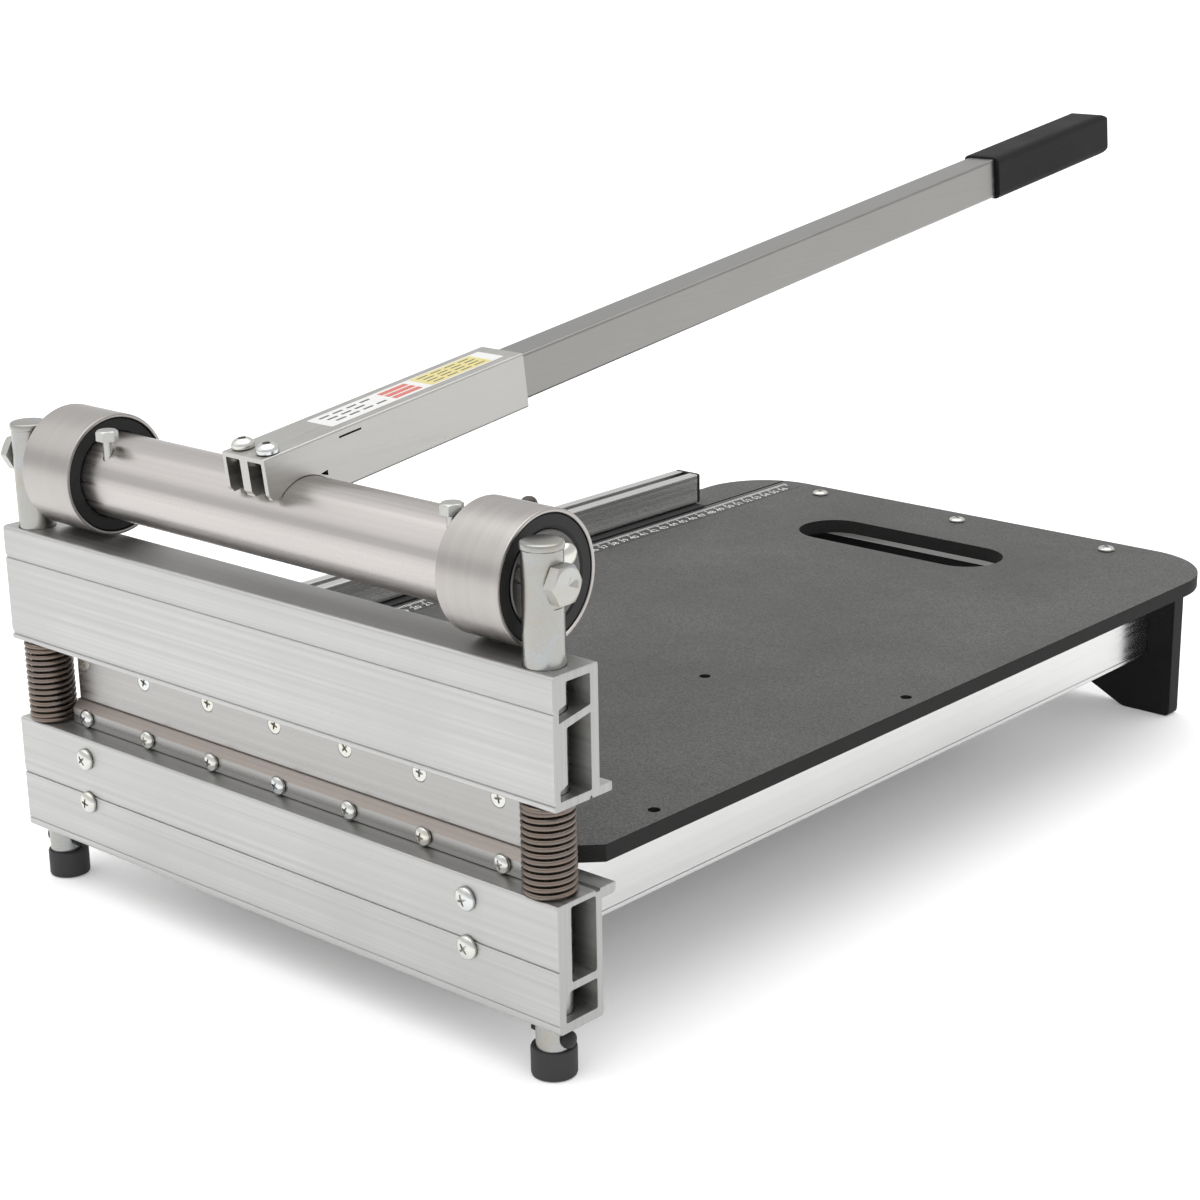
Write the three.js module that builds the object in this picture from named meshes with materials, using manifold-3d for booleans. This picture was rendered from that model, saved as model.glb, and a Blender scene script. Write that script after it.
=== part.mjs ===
// Lever shear for floor tiles: a fixed lower beam, a sprung cutting head above it, a handle with
// an eccentric cross tube that presses the head down, and a flat table with a side fence.
// Units mm. X runs along the beams, Y from the beams' front face back over the table, Z up.
import * as THREE from "three";
import { mergeVertices } from "three/addons/utils/BufferGeometryUtils.js";
import Module from "manifold-3d";

const wasm = await Module();
wasm.setup();

const GAP = 0.3; // clearance between pieces that touch

// beams
const BEAM_HALF = 200;
const BEAM_DEPTH = 29.8;
const LOWER_BOTTOM = 28;
const LOWER_TOP = 91.75;
const UPPER_BOTTOM = 136.7;
const UPPER_TOP = 200.1;
const LIP_BACK = 39.5;

// posts, springs and feet
const POST_X = 184.9;
const POST_Y = 11.7;
const POST_R = 9.6;
const POST_TOP = 257;
const POST_BOTTOM = 3;
const POST_HOLE_R = 10;
const POST_FLAT = 8.9;
const SPRING_R = 11.65;
const SPRING_WIRE_R = 1.35;
const SPRING_TURNS = 13.5;
const FOOT_X = 184.1;
const FOOT_Y = 12.6;
const FOOT_R = 11;
const FOOT_TOP = 14.8;
const FOOT_PIN_Z = 20.5;

// eccentric and rollers
const PIVOT_Y = 11.9;
const PIVOT_Z = 238.7;
const PIVOT_BOLT_R = 4;
const PIVOT_HEAD = 5.8;
const TUBE_Y = 28.1;
const TUBE_Z = 232.75;
const TUBE_R = 22.5;
const TUBE_WALL = 3;
const ROLLER_R = 32.1;
const ROLLER_WALL = 2;
const ROLLER_INNER_X = 133.6;
const ROLLER_OUTER_X = 172.2;
const PLUG_INNER_X = 160;
const SET_BOLT_R = 2.6;
const SET_BOLT_REACH = 7;
const SET_BOLTS = { "-1": [-119, 12.6], 1: [127, 15] };

// handle, in its own frame: s along the handle, n square to it, both from the tube's axis
const HANDLE_ANGLE = THREE.MathUtils.degToRad(7.13);
const SOCKET_HALF = 15.3;
const SOCKET_START = -21.7;
const SOCKET_END = 158.2;
const SOCKET_LOW = 8.85;
const SOCKET_HIGH = 38.4;
const SOCKET_WALL = 2.5;
const SOCKET_RIB = 5.6;
const SOCKET_LIP = 17.5;
const POCKET_START = 38;
const SLOT_HALF = 10.3;
const SLOT_LOW = 10.7;
const SLOT_HIGH = 35.9;
const BAR_START = 40;
const BAR_END = 695;
const BAR_WALL = 1.5;
const GRIP_START = 608.8;
const GRIP_END = 745.2;
const GRIP_HALF = 13.2;
const GRIP_LOW = 9.6;
const GRIP_HIGH = 37.1;

// knives
const KNIFE_HALF = 168;
const ANVIL_FRONT = 12.4;
const SHEAR_Y = 17.4;
const BLADE_THICK = 5;
const BLADE_BOTTOM = 102;
const HOLDER_BOTTOM = 121;
const ANVIL_SCREW_PITCH = 51.7;
const ANVIL_SCREW_Z = 97.3;
const BLADE_SCREW_PITCH = 51.8;
const BLADE_SCREW_FIRST = -163;
const BLADE_SCREW_Z = 125.7;

// table
const TABLE_HALF = 189.3;
const TABLE_FRONT = 24.2;
const TABLE_BACK = 631;
const TABLE_TOP = 105.05;
const TABLE_BOTTOM = 95.8;
const TABLE_CHAMFER = 21;
const TABLE_CORNER_R = 50;
const SLOT_Y = 545;
const HAND_SLOT_HALF = 75;
const HAND_SLOT_R = 24;
const RAIL_X = 143;
const RAIL_BOTTOM = 38.7;
const RAIL_FRONT = 30.3;
const RAIL_BACK = 619.9;
const RAIL_FLANGE = 18;
const RAIL_WALL = 3;
const LEG_HALF = 160.5;
const LEG_FRONT = 620.2;
const LEG_BACK = 631.4;
const TABLE_SCREW_Y = 612;
const TABLE_SCREW_X = 114;

// fence
const FENCE_X = -182;
const FENCE_W = 20;
const FENCE_FRONT = 42;
const FENCE_BACK = 535.6;
const FENCE_BOTTOM = 107;
const KNOB_Y = 378;

// ---------------------------------------------------------------- geometry helpers

// Closed path through [a, b] or [a, b, r] points; a point with a radius gets a rounded corner.
function outline(points, Kind = THREE.Shape) {
  const path = new Kind();
  const corners = points.map(([a, b]) => new THREE.Vector2(a, b));
  corners.forEach((corner, i) => {
    const r = points[i][2] ?? 0;
    const before = corners.at(i - 1).clone().sub(corner).normalize();
    const after = corners[(i + 1) % corners.length].clone().sub(corner).normalize();
    const start = corner.clone().addScaledVector(before, r);
    if (i === 0) path.moveTo(start.x, start.y);
    else path.lineTo(start.x, start.y);
    if (r > 0) {
      const end = corner.clone().addScaledVector(after, r);
      path.quadraticCurveTo(corner.x, corner.y, end.x, end.y);
    }
  });
  path.closePath();
  return path;
}

function rectangle(a0, b0, a1, b1, r = 0, Kind = THREE.Shape) {
  return outline([[a0, b0, r], [a1, b0, r], [a1, b1, r], [a0, b1, r]], Kind);
}

function polygon(radius, sides) {
  const corner = (_, i) => {
    const angle = 2 * Math.PI * i / sides;
    return [radius * Math.cos(angle), radius * Math.sin(angle)];
  };
  return outline(Array.from({ length: sides }, corner));
}

function extrude(shape, depth, curveSegments = 3) {
  return new THREE.ExtrudeGeometry(shape, { depth, bevelEnabled: false, curveSegments });
}

// shape drawn in (y, z)
function alongX(shape, x0, x1, curveSegments) {
  const turn = new THREE.Matrix4().makeBasis(
    new THREE.Vector3(0, 1, 0), new THREE.Vector3(0, 0, 1), new THREE.Vector3(1, 0, 0));
  return extrude(shape, x1 - x0, curveSegments).applyMatrix4(turn).translate(x0, 0, 0);
}

// shape drawn in (x, z)
function alongY(shape, y0, y1, curveSegments) {
  return extrude(shape, y1 - y0, curveSegments).rotateX(Math.PI / 2).translate(0, y1, 0);
}

// shape drawn in (x, y)
function alongZ(shape, z0, z1, curveSegments) {
  return extrude(shape, z1 - z0, curveSegments).translate(0, 0, z0);
}

// [radius, height] profile from the bottom centre to the top centre, turned about local +Z
function revolve(profile, segments = 16) {
  const points = profile.map(([r, h]) => new THREE.Vector2(r, h));
  return new THREE.LatheGeometry(points, segments).rotateX(Math.PI / 2);
}

function rod(radius, z0, z1, segments = 16) {
  return revolve([[0, z0], [radius, z0], [radius, z1], [0, z1]], segments);
}

function tube(outer, inner, z0, z1, segments) {
  const profile = [[inner, z0], [outer, z0], [outer, z1], [inner, z1], [inner, z0]];
  return revolve(profile, segments);
}

const towardsX = (geometry) => geometry.rotateY(Math.PI / 2);
const towardsMinusX = (geometry) => geometry.rotateY(-Math.PI / 2);
const towardsMinusY = (geometry) => geometry.rotateX(Math.PI / 2);

function solid(geometry) {
  const bare = geometry.clone();
  bare.deleteAttribute("normal");
  bare.deleteAttribute("uv");
  const welded = mergeVertices(bare, 1e-4);
  const index = welded.index.array;
  const kept = [];
  for (let i = 0; i < index.length; i += 3) {
    const [a, b, c] = [index[i], index[i + 1], index[i + 2]];
    if (a !== b && b !== c && a !== c) kept.push(a, b, c);
  }
  return new wasm.Manifold(new wasm.Mesh({
    numProp: 3,
    vertProperties: new Float32Array(welded.attributes.position.array),
    triVerts: new Uint32Array(kept),
  }));
}

function geometryOf(manifold) {
  const mesh = manifold.getMesh();
  const geometry = new THREE.BufferGeometry();
  geometry.setAttribute("position", new THREE.BufferAttribute(new Float32Array(mesh.vertProperties), 3));
  geometry.setIndex(new THREE.BufferAttribute(new Uint32Array(mesh.triVerts), 1));
  return geometry;
}

function cut(body, ...tools) {
  return geometryOf(tools.reduce((left, tool) => left.subtract(solid(tool)), solid(body)));
}

function join(...bodies) {
  return geometryOf(bodies.map(solid).reduce((sum, next) => sum.add(next)));
}

// ---------------------------------------------------------------- materials and nodes

const FINISHES = {
  beam: ["#c9cacb", 0.38, 0.9],
  steel: ["#b9babb", 0.3, 1],
  knife: ["#a9aaac", 0.3, 1],
  zinc: ["#cfd0cf", 0.35, 1],
  spring: ["#4b4038", 0.4, 0.9],
  black: ["#1d1d1e", 0.6, 0],
  rubber: ["#191919", 0.8, 0],
  board: ["#6b6a68", 0.7, 0],
  leg: ["#202122", 0.55, 0],
  rail: ["#c4c5c6", 0.25, 0.95],
  fence: ["#b9b9b8", 0.4, 0.9],
  knob: ["#3a2a22", 0.5, 0],
};

const assembly = new THREE.Group();
assembly.name = "tile_cutter";

function add(name, finish, geometry) {
  const [color, roughness, metalness] = FINISHES[finish];
  const flat = geometry.index ? geometry.toNonIndexed() : geometry;
  flat.computeVertexNormals();
  const mesh = new THREE.Mesh(flat, new THREE.MeshStandardMaterial({ color, roughness, metalness }));
  mesh.material.name = finish;
  mesh.name = name;
  assembly.add(mesh);
}

// the same piece at +X and -X; `make` gets the side's sign
function addPair(name, finish, make) {
  add(`left_${name}`, finish, make(-1));
  add(`right_${name}`, finish, make(1));
}

// ---------------------------------------------------------------- screws and bolts

// round-headed screw along +Z; the underside of the head is at height 0
function panScrew(headR, headH, shankR, length, segments = 12) {
  return revolve([
    [0, -length], [shankR, -length], [shankR, 0], [headR, 0], [headR, headH * 0.45],
    [headR * 0.72, headH * 0.9], [0, headH],
  ], segments);
}

// countersunk screw along +Z; the head's flat top is at height 0
function countersunkScrew(headR, shankR, length, segments = 14) {
  return revolve([
    [0, -length], [shankR, -length], [shankR, shankR - headR], [headR, -0.3], [headR, 0], [0, 0],
  ], segments);
}

function hexBolt(acrossFlats, headH, shankR, length) {
  const cornerR = acrossFlats / Math.sqrt(3);
  const hexagon = new THREE.CylinderGeometry(cornerR, cornerR, headH, 6);
  const chamfer = revolve([
    [0, -1], [cornerR + 1, -1], [cornerR + 1, headH * 0.55], [acrossFlats * 0.47, headH], [0, headH],
  ], 24);
  const head = solid(hexagon.rotateX(Math.PI / 2).translate(0, 0, headH / 2)).intersect(solid(chamfer));
  return geometryOf(head.add(solid(rod(shankR, -length, 0.2, 16))));
}

// ---------------------------------------------------------------- lower beam and knife

const frontScrews = [-1, 1].flatMap((side) => [80.3, 55.8].map((z) => [side * 142.7, z]));
const postHole = (side) => rod(POST_HOLE_R, 0, UPPER_TOP + 20, 24).translate(side * POST_X, POST_Y, 0);

const lowerProfile = outline([
  [0, LOWER_BOTTOM, 2.4], [BEAM_DEPTH, LOWER_BOTTOM, 2], [BEAM_DEPTH, 86.4], [38, 86.4, 1],
  [LIP_BACK, 88.2, 0.8], [LIP_BACK, LOWER_TOP, 0.8], [29, LOWER_TOP], [28.4, 90.4], [26, 90.4],
  [25.4, LOWER_TOP], [0, LOWER_TOP, 1.6],
]);
lowerProfile.holes.push(
  rectangle(9, 52, 25.8, 89, 1.5, THREE.Path),
  outline([[4.6, 33, 1], [25.8, 33, 1], [25.8, 48, 1], [8.2, 48, 1], [4.6, 44, 1]], THREE.Path),
);
const grooveBar = (z) => alongX(rectangle(-1, z - 0.5, 0.7, z + 0.5), -BEAM_HALF - 1, BEAM_HALF + 1);
add("lower_beam", "beam", cut(
  alongX(lowerProfile, -BEAM_HALF, BEAM_HALF, 2),
  postHole(-1), postHole(1), grooveBar(60),
  ...frontScrews.map(([x, z]) => towardsMinusY(rod(3, -15, 5, 12)).translate(x, 0, z)),
));

frontScrews.forEach(([x, z], i) => {
  const screw = towardsMinusY(panScrew(6, 3.4, 2.6, 8.4)).translate(x, -GAP, z);
  add(`front_screw_${i + 1}`, "zinc", screw);
});

const anvilScrewX = Array.from({ length: 7 }, (_, i) => (i - 3) * ANVIL_SCREW_PITCH);
const anvilProfile = outline([
  [ANVIL_FRONT, LOWER_TOP + GAP], [SHEAR_Y, LOWER_TOP + GAP], [SHEAR_Y, 105], [SHEAR_Y - 0.8, 105],
  [ANVIL_FRONT, 100.6],
]);
add("anvil_bar", "knife", cut(
  alongX(anvilProfile, -KNIFE_HALF, KNIFE_HALF),
  ...anvilScrewX.map((x) => towardsMinusY(rod(2.4, -25, 5, 12)).translate(x, 0, ANVIL_SCREW_Z)),
));
anvilScrewX.forEach((x, i) => {
  const screw = towardsMinusY(panScrew(4.9, 3.2, 2.1, 4.6, 12));
  add(`anvil_screw_${i + 1}`, "zinc", screw.translate(x, ANVIL_FRONT - GAP, ANVIL_SCREW_Z));
});

// ---------------------------------------------------------------- posts, springs and feet

addPair("post", "zinc", (side) => {
  const flatX = POST_X + POST_FLAT;
  const shaft = revolve([
    [0, POST_BOTTOM], [7.5, POST_BOTTOM], [8.4, POST_BOTTOM + 1], [8.4, 27], [POST_R, 28.5],
    [POST_R, 253.2], [POST_R + 0.5, 253.6], [POST_R + 0.5, 255.8], [POST_R - 1, POST_TOP], [0, POST_TOP],
  ], 24);
  const flat = new THREE.BoxGeometry(10, 30, 26).translate(flatX + 5, 0, 240.2);
  const waist = alongY(new THREE.Shape().absarc(85.6, 232.5, 91, 0, 2 * Math.PI, false), -15, 15, 36);
  const boltHole = towardsX(rod(PIVOT_BOLT_R + 0.2, 150, 230, 16)).translate(0, 0.2, PIVOT_Z);
  const pinHole = towardsX(rod(2.3, 150, 230, 12)).translate(0, 0, FOOT_PIN_Z);
  const post = cut(shaft.translate(POST_X, 0, 0), flat, waist, boltHole, pinHole);
  return side > 0 ? post.translate(0, POST_Y, 0) : mirrorX(post).translate(0, POST_Y, 0);
});

// reflection in the plane x = 0 that keeps the faces turned outwards
function mirrorX(geometry) {
  const flipped = (geometry.index ? geometry.clone() : mergeVertices(geometry.clone())).scale(-1, 1, 1);
  const index = flipped.index.array;
  for (let i = 0; i < index.length; i += 3) {
    [index[i + 1], index[i + 2]] = [index[i + 2], index[i + 1]];
  }
  return flipped;
}

class Helix extends THREE.Curve {
  constructor(radius, turns, z0, z1) {
    super();
    Object.assign(this, { radius, turns, z0, z1 });
  }

  getPoint(t, target = new THREE.Vector3()) {
    const angle = 2 * Math.PI * this.turns * t;
    const z = this.z0 + (this.z1 - this.z0) * t;
    return target.set(this.radius * Math.cos(angle), this.radius * Math.sin(angle), z);
  }
}

addPair("spring", "spring", (side) => {
  const z0 = LOWER_TOP + GAP + SPRING_WIRE_R;
  const z1 = UPPER_BOTTOM - GAP - SPRING_WIRE_R;
  const coil = new THREE.ExtrudeGeometry(polygon(SPRING_WIRE_R, 6), {
    steps: Math.round(SPRING_TURNS * 8),
    extrudePath: new Helix(SPRING_R, SPRING_TURNS, z0, z1),
  });
  return coil.translate(side * POST_X, POST_Y, 0);
});

addPair("foot", "rubber", (side) => {
  const cap = revolve([
    [0, 0], [FOOT_R - 1, 0], [FOOT_R, 1], [FOOT_R, FOOT_TOP - 0.6], [FOOT_R - 0.6, FOOT_TOP], [0, FOOT_TOP],
  ], 24).translate(side * FOOT_X, FOOT_Y, 0);
  return cut(cap, rod(8.7, POST_BOTTOM - GAP, 40, 24).translate(side * POST_X, POST_Y, 0));
});

addPair("foot_pin", "zinc", (side) => {
  const pin = revolve([
    [0, -22], [1.9, -22], [1.9, 0], [4.4, 0], [4.2, 1.6], [2.8, 3.1], [0, 3.6],
  ], 14);
  const turned = side > 0 ? towardsX(pin) : towardsMinusX(pin);
  return turned.translate(side * (POST_X + 8.7), POST_Y, FOOT_PIN_Z);
});

// ---------------------------------------------------------------- table, rails and leg

const tableScrewX = [-TABLE_SCREW_X, 0, TABLE_SCREW_X];
const boardShape = outline([
  [-TABLE_HALF, TABLE_FRONT + TABLE_CHAMFER], [-TABLE_HALF + TABLE_CHAMFER, TABLE_FRONT],
  [TABLE_HALF - TABLE_CHAMFER, TABLE_FRONT], [TABLE_HALF, TABLE_FRONT + TABLE_CHAMFER],
  [TABLE_HALF, TABLE_BACK - TABLE_CORNER_R],
]);
boardShape.curves.pop();
const cornerX = TABLE_HALF - TABLE_CORNER_R;
const cornerY = TABLE_BACK - TABLE_CORNER_R;
boardShape.absarc(cornerX, cornerY, TABLE_CORNER_R, 0, Math.PI / 2, false);
boardShape.absarc(-cornerX, cornerY, TABLE_CORNER_R, Math.PI / 2, Math.PI, false);
boardShape.closePath();

const handSlot = new THREE.Shape();
handSlot.absarc(HAND_SLOT_HALF - HAND_SLOT_R, SLOT_Y, HAND_SLOT_R, -Math.PI / 2, Math.PI / 2, false);
handSlot.absarc(HAND_SLOT_R - HAND_SLOT_HALF, SLOT_Y, HAND_SLOT_R, Math.PI / 2, 1.5 * Math.PI, false);
handSlot.closePath();

const stopHoles = [[72.6, 258.4], [178.5, 91.6], [178.1, 299.2]];
const rulerGroove = new THREE.BoxGeometry(1.6, 600, 3).translate(-157, 326, TABLE_TOP + 0.9);
add("table_board", "board", cut(
  alongZ(boardShape, TABLE_BOTTOM + GAP, TABLE_TOP, 10),
  alongZ(handSlot, 80, 120, 10),
  rulerGroove,
  ...stopHoles.map(([x, y]) => rod(3, 80, 120, 14).translate(x, y, 0)),
  ...tableScrewX.map((x) => rod(2.5, 80, 120, 12).translate(x, TABLE_SCREW_Y, 0)),
));

tableScrewX.forEach((x, i) => {
  const screw = panScrew(5.2, 2.6, 2.1, 20).translate(x, TABLE_SCREW_Y, TABLE_TOP + GAP);
  add(`table_screw_${i + 1}`, "zinc", screw);
});

addPair("rail", "rail", (side) => {
  const inner = RAIL_X - RAIL_FLANGE;
  const web = RAIL_X - RAIL_WALL;
  const channel = outline([
    [inner, RAIL_BOTTOM], [RAIL_X, RAIL_BOTTOM, 0.6], [RAIL_X, RAIL_BOTTOM + 2.6],
    [RAIL_X - 0.6, RAIL_BOTTOM + 3], [RAIL_X - 0.6, TABLE_BOTTOM], [inner, TABLE_BOTTOM],
    [inner, TABLE_BOTTOM - RAIL_WALL], [web, TABLE_BOTTOM - RAIL_WALL], [web, RAIL_BOTTOM + RAIL_WALL],
    [inner, RAIL_BOTTOM + RAIL_WALL],
  ]);
  const lipClearance = alongX(rectangle(0, 86, LIP_BACK + GAP, 120), 0, BEAM_HALF);
  const rail = cut(alongY(channel, RAIL_FRONT, RAIL_BACK, 2), lipClearance);
  return side > 0 ? rail : mirrorX(rail);
});

const legShape = outline([
  [-LEG_HALF, 0, 4], [-126, 0, 3], [-102, 12, 16], [-50, 36, 30], [50, 36, 30], [102, 12, 16], [126, 0, 3],
  [LEG_HALF, 0, 4], [LEG_HALF, TABLE_BOTTOM], [-LEG_HALF, TABLE_BOTTOM],
]);
add("rear_leg", "leg", alongY(legShape, LEG_FRONT, LEG_BACK, 5));

const crossbarEnd = RAIL_X - RAIL_FLANGE - GAP;
const crossbar = alongX(rectangle(604.5, 80.5, RAIL_BACK, TABLE_BOTTOM - 0.1, 1), -crossbarEnd, crossbarEnd);
add("rear_crossbar", "rail", cut(
  crossbar, ...tableScrewX.map((x) => rod(2.4, 70, 120, 12).translate(x, TABLE_SCREW_Y, 0))));

// ---------------------------------------------------------------- fence

const fenceMiddle = FENCE_X + FENCE_W / 2;
const fenceSection = outline([
  [FENCE_X, FENCE_BOTTOM, 0.8], [FENCE_X + FENCE_W, FENCE_BOTTOM, 0.8],
  [FENCE_X + FENCE_W, FENCE_BOTTOM + FENCE_W, 0.8], [fenceMiddle + 3, FENCE_BOTTOM + FENCE_W],
  [fenceMiddle + 3, FENCE_BOTTOM + 15], [fenceMiddle - 3, FENCE_BOTTOM + 15],
  [fenceMiddle - 3, FENCE_BOTTOM + FENCE_W], [FENCE_X, FENCE_BOTTOM + FENCE_W, 0.8],
]);
add("fence_bar", "fence", alongY(fenceSection, FENCE_FRONT, FENCE_BACK, 2));

const capSection = rectangle(
  FENCE_X - 0.2, FENCE_BOTTOM - 0.2, FENCE_X + FENCE_W + 0.2, FENCE_BOTTOM + FENCE_W + 0.2, 1.5);
add("fence_end_cap", "black", alongY(capSection, FENCE_BACK + GAP, FENCE_BACK + 2.6, 3));

add("fence_base_strip", "black", new THREE.BoxGeometry(29, FENCE_BACK - FENCE_FRONT, 1.1)
  .translate(-169.5, (FENCE_BACK + FENCE_FRONT) / 2, TABLE_TOP + GAP + 0.55));

const knobSeat = FENCE_BOTTOM + FENCE_W + GAP;
add("fence_knob", "knob", revolve([
  [0, knobSeat - 3.6], [2.4, knobSeat - 3.6], [2.4, knobSeat], [5.4, knobSeat], [6.2, knobSeat + 1.5],
  [6.2, knobSeat + 9], [5.2, knobSeat + 12.6], [3, knobSeat + 14.8], [0, knobSeat + 15.4],
], 20).translate(fenceMiddle, KNOB_Y, 0));

// ---------------------------------------------------------------- sliding head

const upperProfile = outline([
  [0, UPPER_BOTTOM, 1.4], [23, UPPER_BOTTOM], [23.6, UPPER_BOTTOM + 1.4], [24.4, UPPER_BOTTOM + 1.4],
  [25, UPPER_BOTTOM], [LIP_BACK - 1.5, UPPER_BOTTOM, 0.8], [LIP_BACK - 1.5, UPPER_BOTTOM + 4.5, 0.8],
  [BEAM_DEPTH, UPPER_BOTTOM + 4.5], [BEAM_DEPTH, UPPER_TOP, 1.6], [0, UPPER_TOP, 2.4],
]);
upperProfile.holes.push(
  outline([
    [4, 177.8, 0.5], [24.5, 181.5, 0.8], [24.5, 196, 1], [8.8, 196, 1], [8.8, 185.5], [4, 184],
  ], THREE.Path),
  outline([
    [4, 141, 0.8], [24.5, 141, 0.8], [24.5, 177.7, 0.8], [8.8, 174.5, 0.8], [8.8, 148], [4, 146],
  ], THREE.Path),
);
add("upper_beam", "beam", cut(
  alongX(upperProfile, -BEAM_HALF, BEAM_HALF, 2),
  postHole(-1), postHole(1), grooveBar(183), grooveBar(UPPER_BOTTOM + 3.6),
));

const bladeFront = SHEAR_Y + 0.2;
const bladeBack = bladeFront + BLADE_THICK;
const bladeTop = UPPER_BOTTOM - GAP;
const bladeScrewX = Array.from({ length: 7 }, (_, i) => BLADE_SCREW_FIRST + i * BLADE_SCREW_PITCH);
const bladeProfile = outline([
  [bladeFront, BLADE_BOTTOM], [bladeFront + 0.8, BLADE_BOTTOM - 0.4], [bladeBack, BLADE_BOTTOM + 2.2],
  [bladeBack, bladeTop], [bladeFront, bladeTop],
]);
add("upper_blade", "knife", cut(
  alongX(bladeProfile, -KNIFE_HALF, KNIFE_HALF),
  ...bladeScrewX.map((x) => towardsMinusY(revolve([
    [0, -8], [2.4, -8], [2.4, -2.5], [4.9, 0], [4.9, 1], [0, 1],
  ], 10)).translate(x, bladeFront, BLADE_SCREW_Z)),
));
add("blade_holder", "knife", cut(
  alongX(rectangle(bladeBack + GAP, HOLDER_BOTTOM, BEAM_DEPTH, bladeTop, 0.6), -KNIFE_HALF, KNIFE_HALF, 1),
  ...bladeScrewX.map((x) => towardsMinusY(rod(2.3, -40, 0, 12)).translate(x, 0, BLADE_SCREW_Z)),
));
bladeScrewX.forEach((x, i) => {
  const screw = towardsMinusY(countersunkScrew(4.5, 2, 11, 10));
  add(`blade_screw_${i + 1}`, "zinc", screw.translate(x, bladeFront, BLADE_SCREW_Z));
});

// ---------------------------------------------------------------- eccentric cross tube

const onTubeAxis = (geometry) => geometry.translate(0, TUBE_Y, TUBE_Z);

// a set bolt stands upright in a hole drilled square to the floor through the tube's wall
function atSetBolt(side, geometry) {
  const [x, y] = SET_BOLTS[side];
  const surface = TUBE_Z + Math.sqrt(TUBE_R ** 2 - (TUBE_Y - y) ** 2);
  return geometry.translate(x, y, surface);
}

const tubeEnd = PLUG_INNER_X - GAP;
add("cross_tube", "steel", cut(
  onTubeAxis(towardsX(tube(TUBE_R, TUBE_R - TUBE_WALL, -tubeEnd, tubeEnd, 40))),
  ...[-1, 1].map((side) => atSetBolt(side, rod(SET_BOLT_R + GAP, -12, 12, 14))),
));

addPair("bush", "black", (side) => {
  const length = ROLLER_OUTER_X - ROLLER_INNER_X - 1.2;
  const sleeve = tube(ROLLER_R - ROLLER_WALL - GAP, TUBE_R + GAP, -length / 2, length / 2, 40);
  return onTubeAxis(towardsX(sleeve)).translate(side * (ROLLER_OUTER_X + ROLLER_INNER_X) / 2, 0, 0);
});

addPair("end_plug", "steel", (side) => {
  const spigotR = TUBE_R - TUBE_WALL - GAP;
  const disc = revolve([
    [0, PLUG_INNER_X - 9], [spigotR, PLUG_INNER_X - 9], [spigotR, PLUG_INNER_X], [TUBE_R, PLUG_INNER_X],
    [TUBE_R, ROLLER_OUTER_X - 0.4], [0, ROLLER_OUTER_X - 0.4],
  ], 32);
  const face = ROLLER_OUTER_X - 0.8;
  const dome = revolve([
    [0, face], [6, face], [6, face + 1.6], [5.2, face + 4], [3, face + 5.5], [0, face + 6],
  ], 20);
  const boltHole = rod(PIVOT_BOLT_R + GAP, PLUG_INNER_X - 20, ROLLER_OUTER_X + 5, 16);
  const plug = cut(
    join(onTubeAxis(towardsX(disc)), towardsX(dome).translate(0, 39.3, 241.9)),
    towardsX(boltHole).translate(0, PIVOT_Y, PIVOT_Z),
  );
  return side > 0 ? plug : mirrorX(plug);
});

addPair("roller", "steel", (side) => {
  const length = ROLLER_OUTER_X - ROLLER_INNER_X;
  const ring = towardsX(tube(ROLLER_R, ROLLER_R - ROLLER_WALL, -length / 2, length / 2, 40));
  return onTubeAxis(ring).translate(side * (ROLLER_OUTER_X + ROLLER_INNER_X) / 2, 0, 0);
});

addPair("pivot_bolt", "zinc", (side) => {
  const head = POST_X + POST_FLAT + GAP;
  const bolt = hexBolt(17, PIVOT_HEAD, PIVOT_BOLT_R, head - PLUG_INNER_X - 1).rotateZ(Math.PI / 6);
  const turned = side > 0 ? towardsX(bolt) : towardsMinusX(bolt);
  return turned.translate(side * head, PIVOT_Y, PIVOT_Z);
});

addPair("set_bolt", "zinc", (side) =>
  atSetBolt(side, hexBolt(10, 5.4, SET_BOLT_R, SET_BOLT_REACH + 5).translate(0, 0, SET_BOLT_REACH)));

// ---------------------------------------------------------------- handle

const onHandle = (geometry) => geometry.rotateX(HANDLE_ANGLE).translate(0, TUBE_Y, TUBE_Z);

const socketOuter = rectangle(-SOCKET_HALF, SOCKET_LOW, SOCKET_HALF, SOCKET_HIGH, 1.2);
const barPocket = rectangle(-SLOT_HALF, SLOT_LOW, SLOT_HALF, SLOT_HIGH);
const frontCell = rectangle(SOCKET_RIB / 2, SLOT_LOW + 0.6, SOCKET_HALF - SOCKET_WALL, SLOT_HIGH, 0.8);
const frontCells = alongY(frontCell, SOCKET_START - 5, POCKET_START + 1, 2);
const gripSlit = new THREE.BoxGeometry(10, 15, 1.4).translate(SOCKET_HALF, 33.8, 34.4);
const socketBoltS = -13;
const socketBoltX = [-8.8, 8.8];
add("handle_socket", "beam", onHandle(cut(
  alongY(socketOuter, SOCKET_START, SOCKET_END, 3),
  alongY(barPocket, POCKET_START, SOCKET_END + 5),
  frontCells, mirrorX(frontCells),
  towardsX(rod(TUBE_R + GAP, -20, 20, 40)),
  new THREE.BoxGeometry(40, 20, 30).translate(0, SOCKET_START - 2.3, SOCKET_LIP - 15),
  gripSlit, mirrorX(gripSlit),
  ...socketBoltX.map((x) => rod(2.5, 20, 60, 12).translate(x, socketBoltS, 0)),
)));
socketBoltX.forEach((x, i) => {
  const bolt = panScrew(5.8, 5, 2.1, 8).translate(x, socketBoltS, SOCKET_HIGH + GAP);
  add(`socket_bolt_${i + 1}`, "zinc", onHandle(bolt));
});

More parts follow.
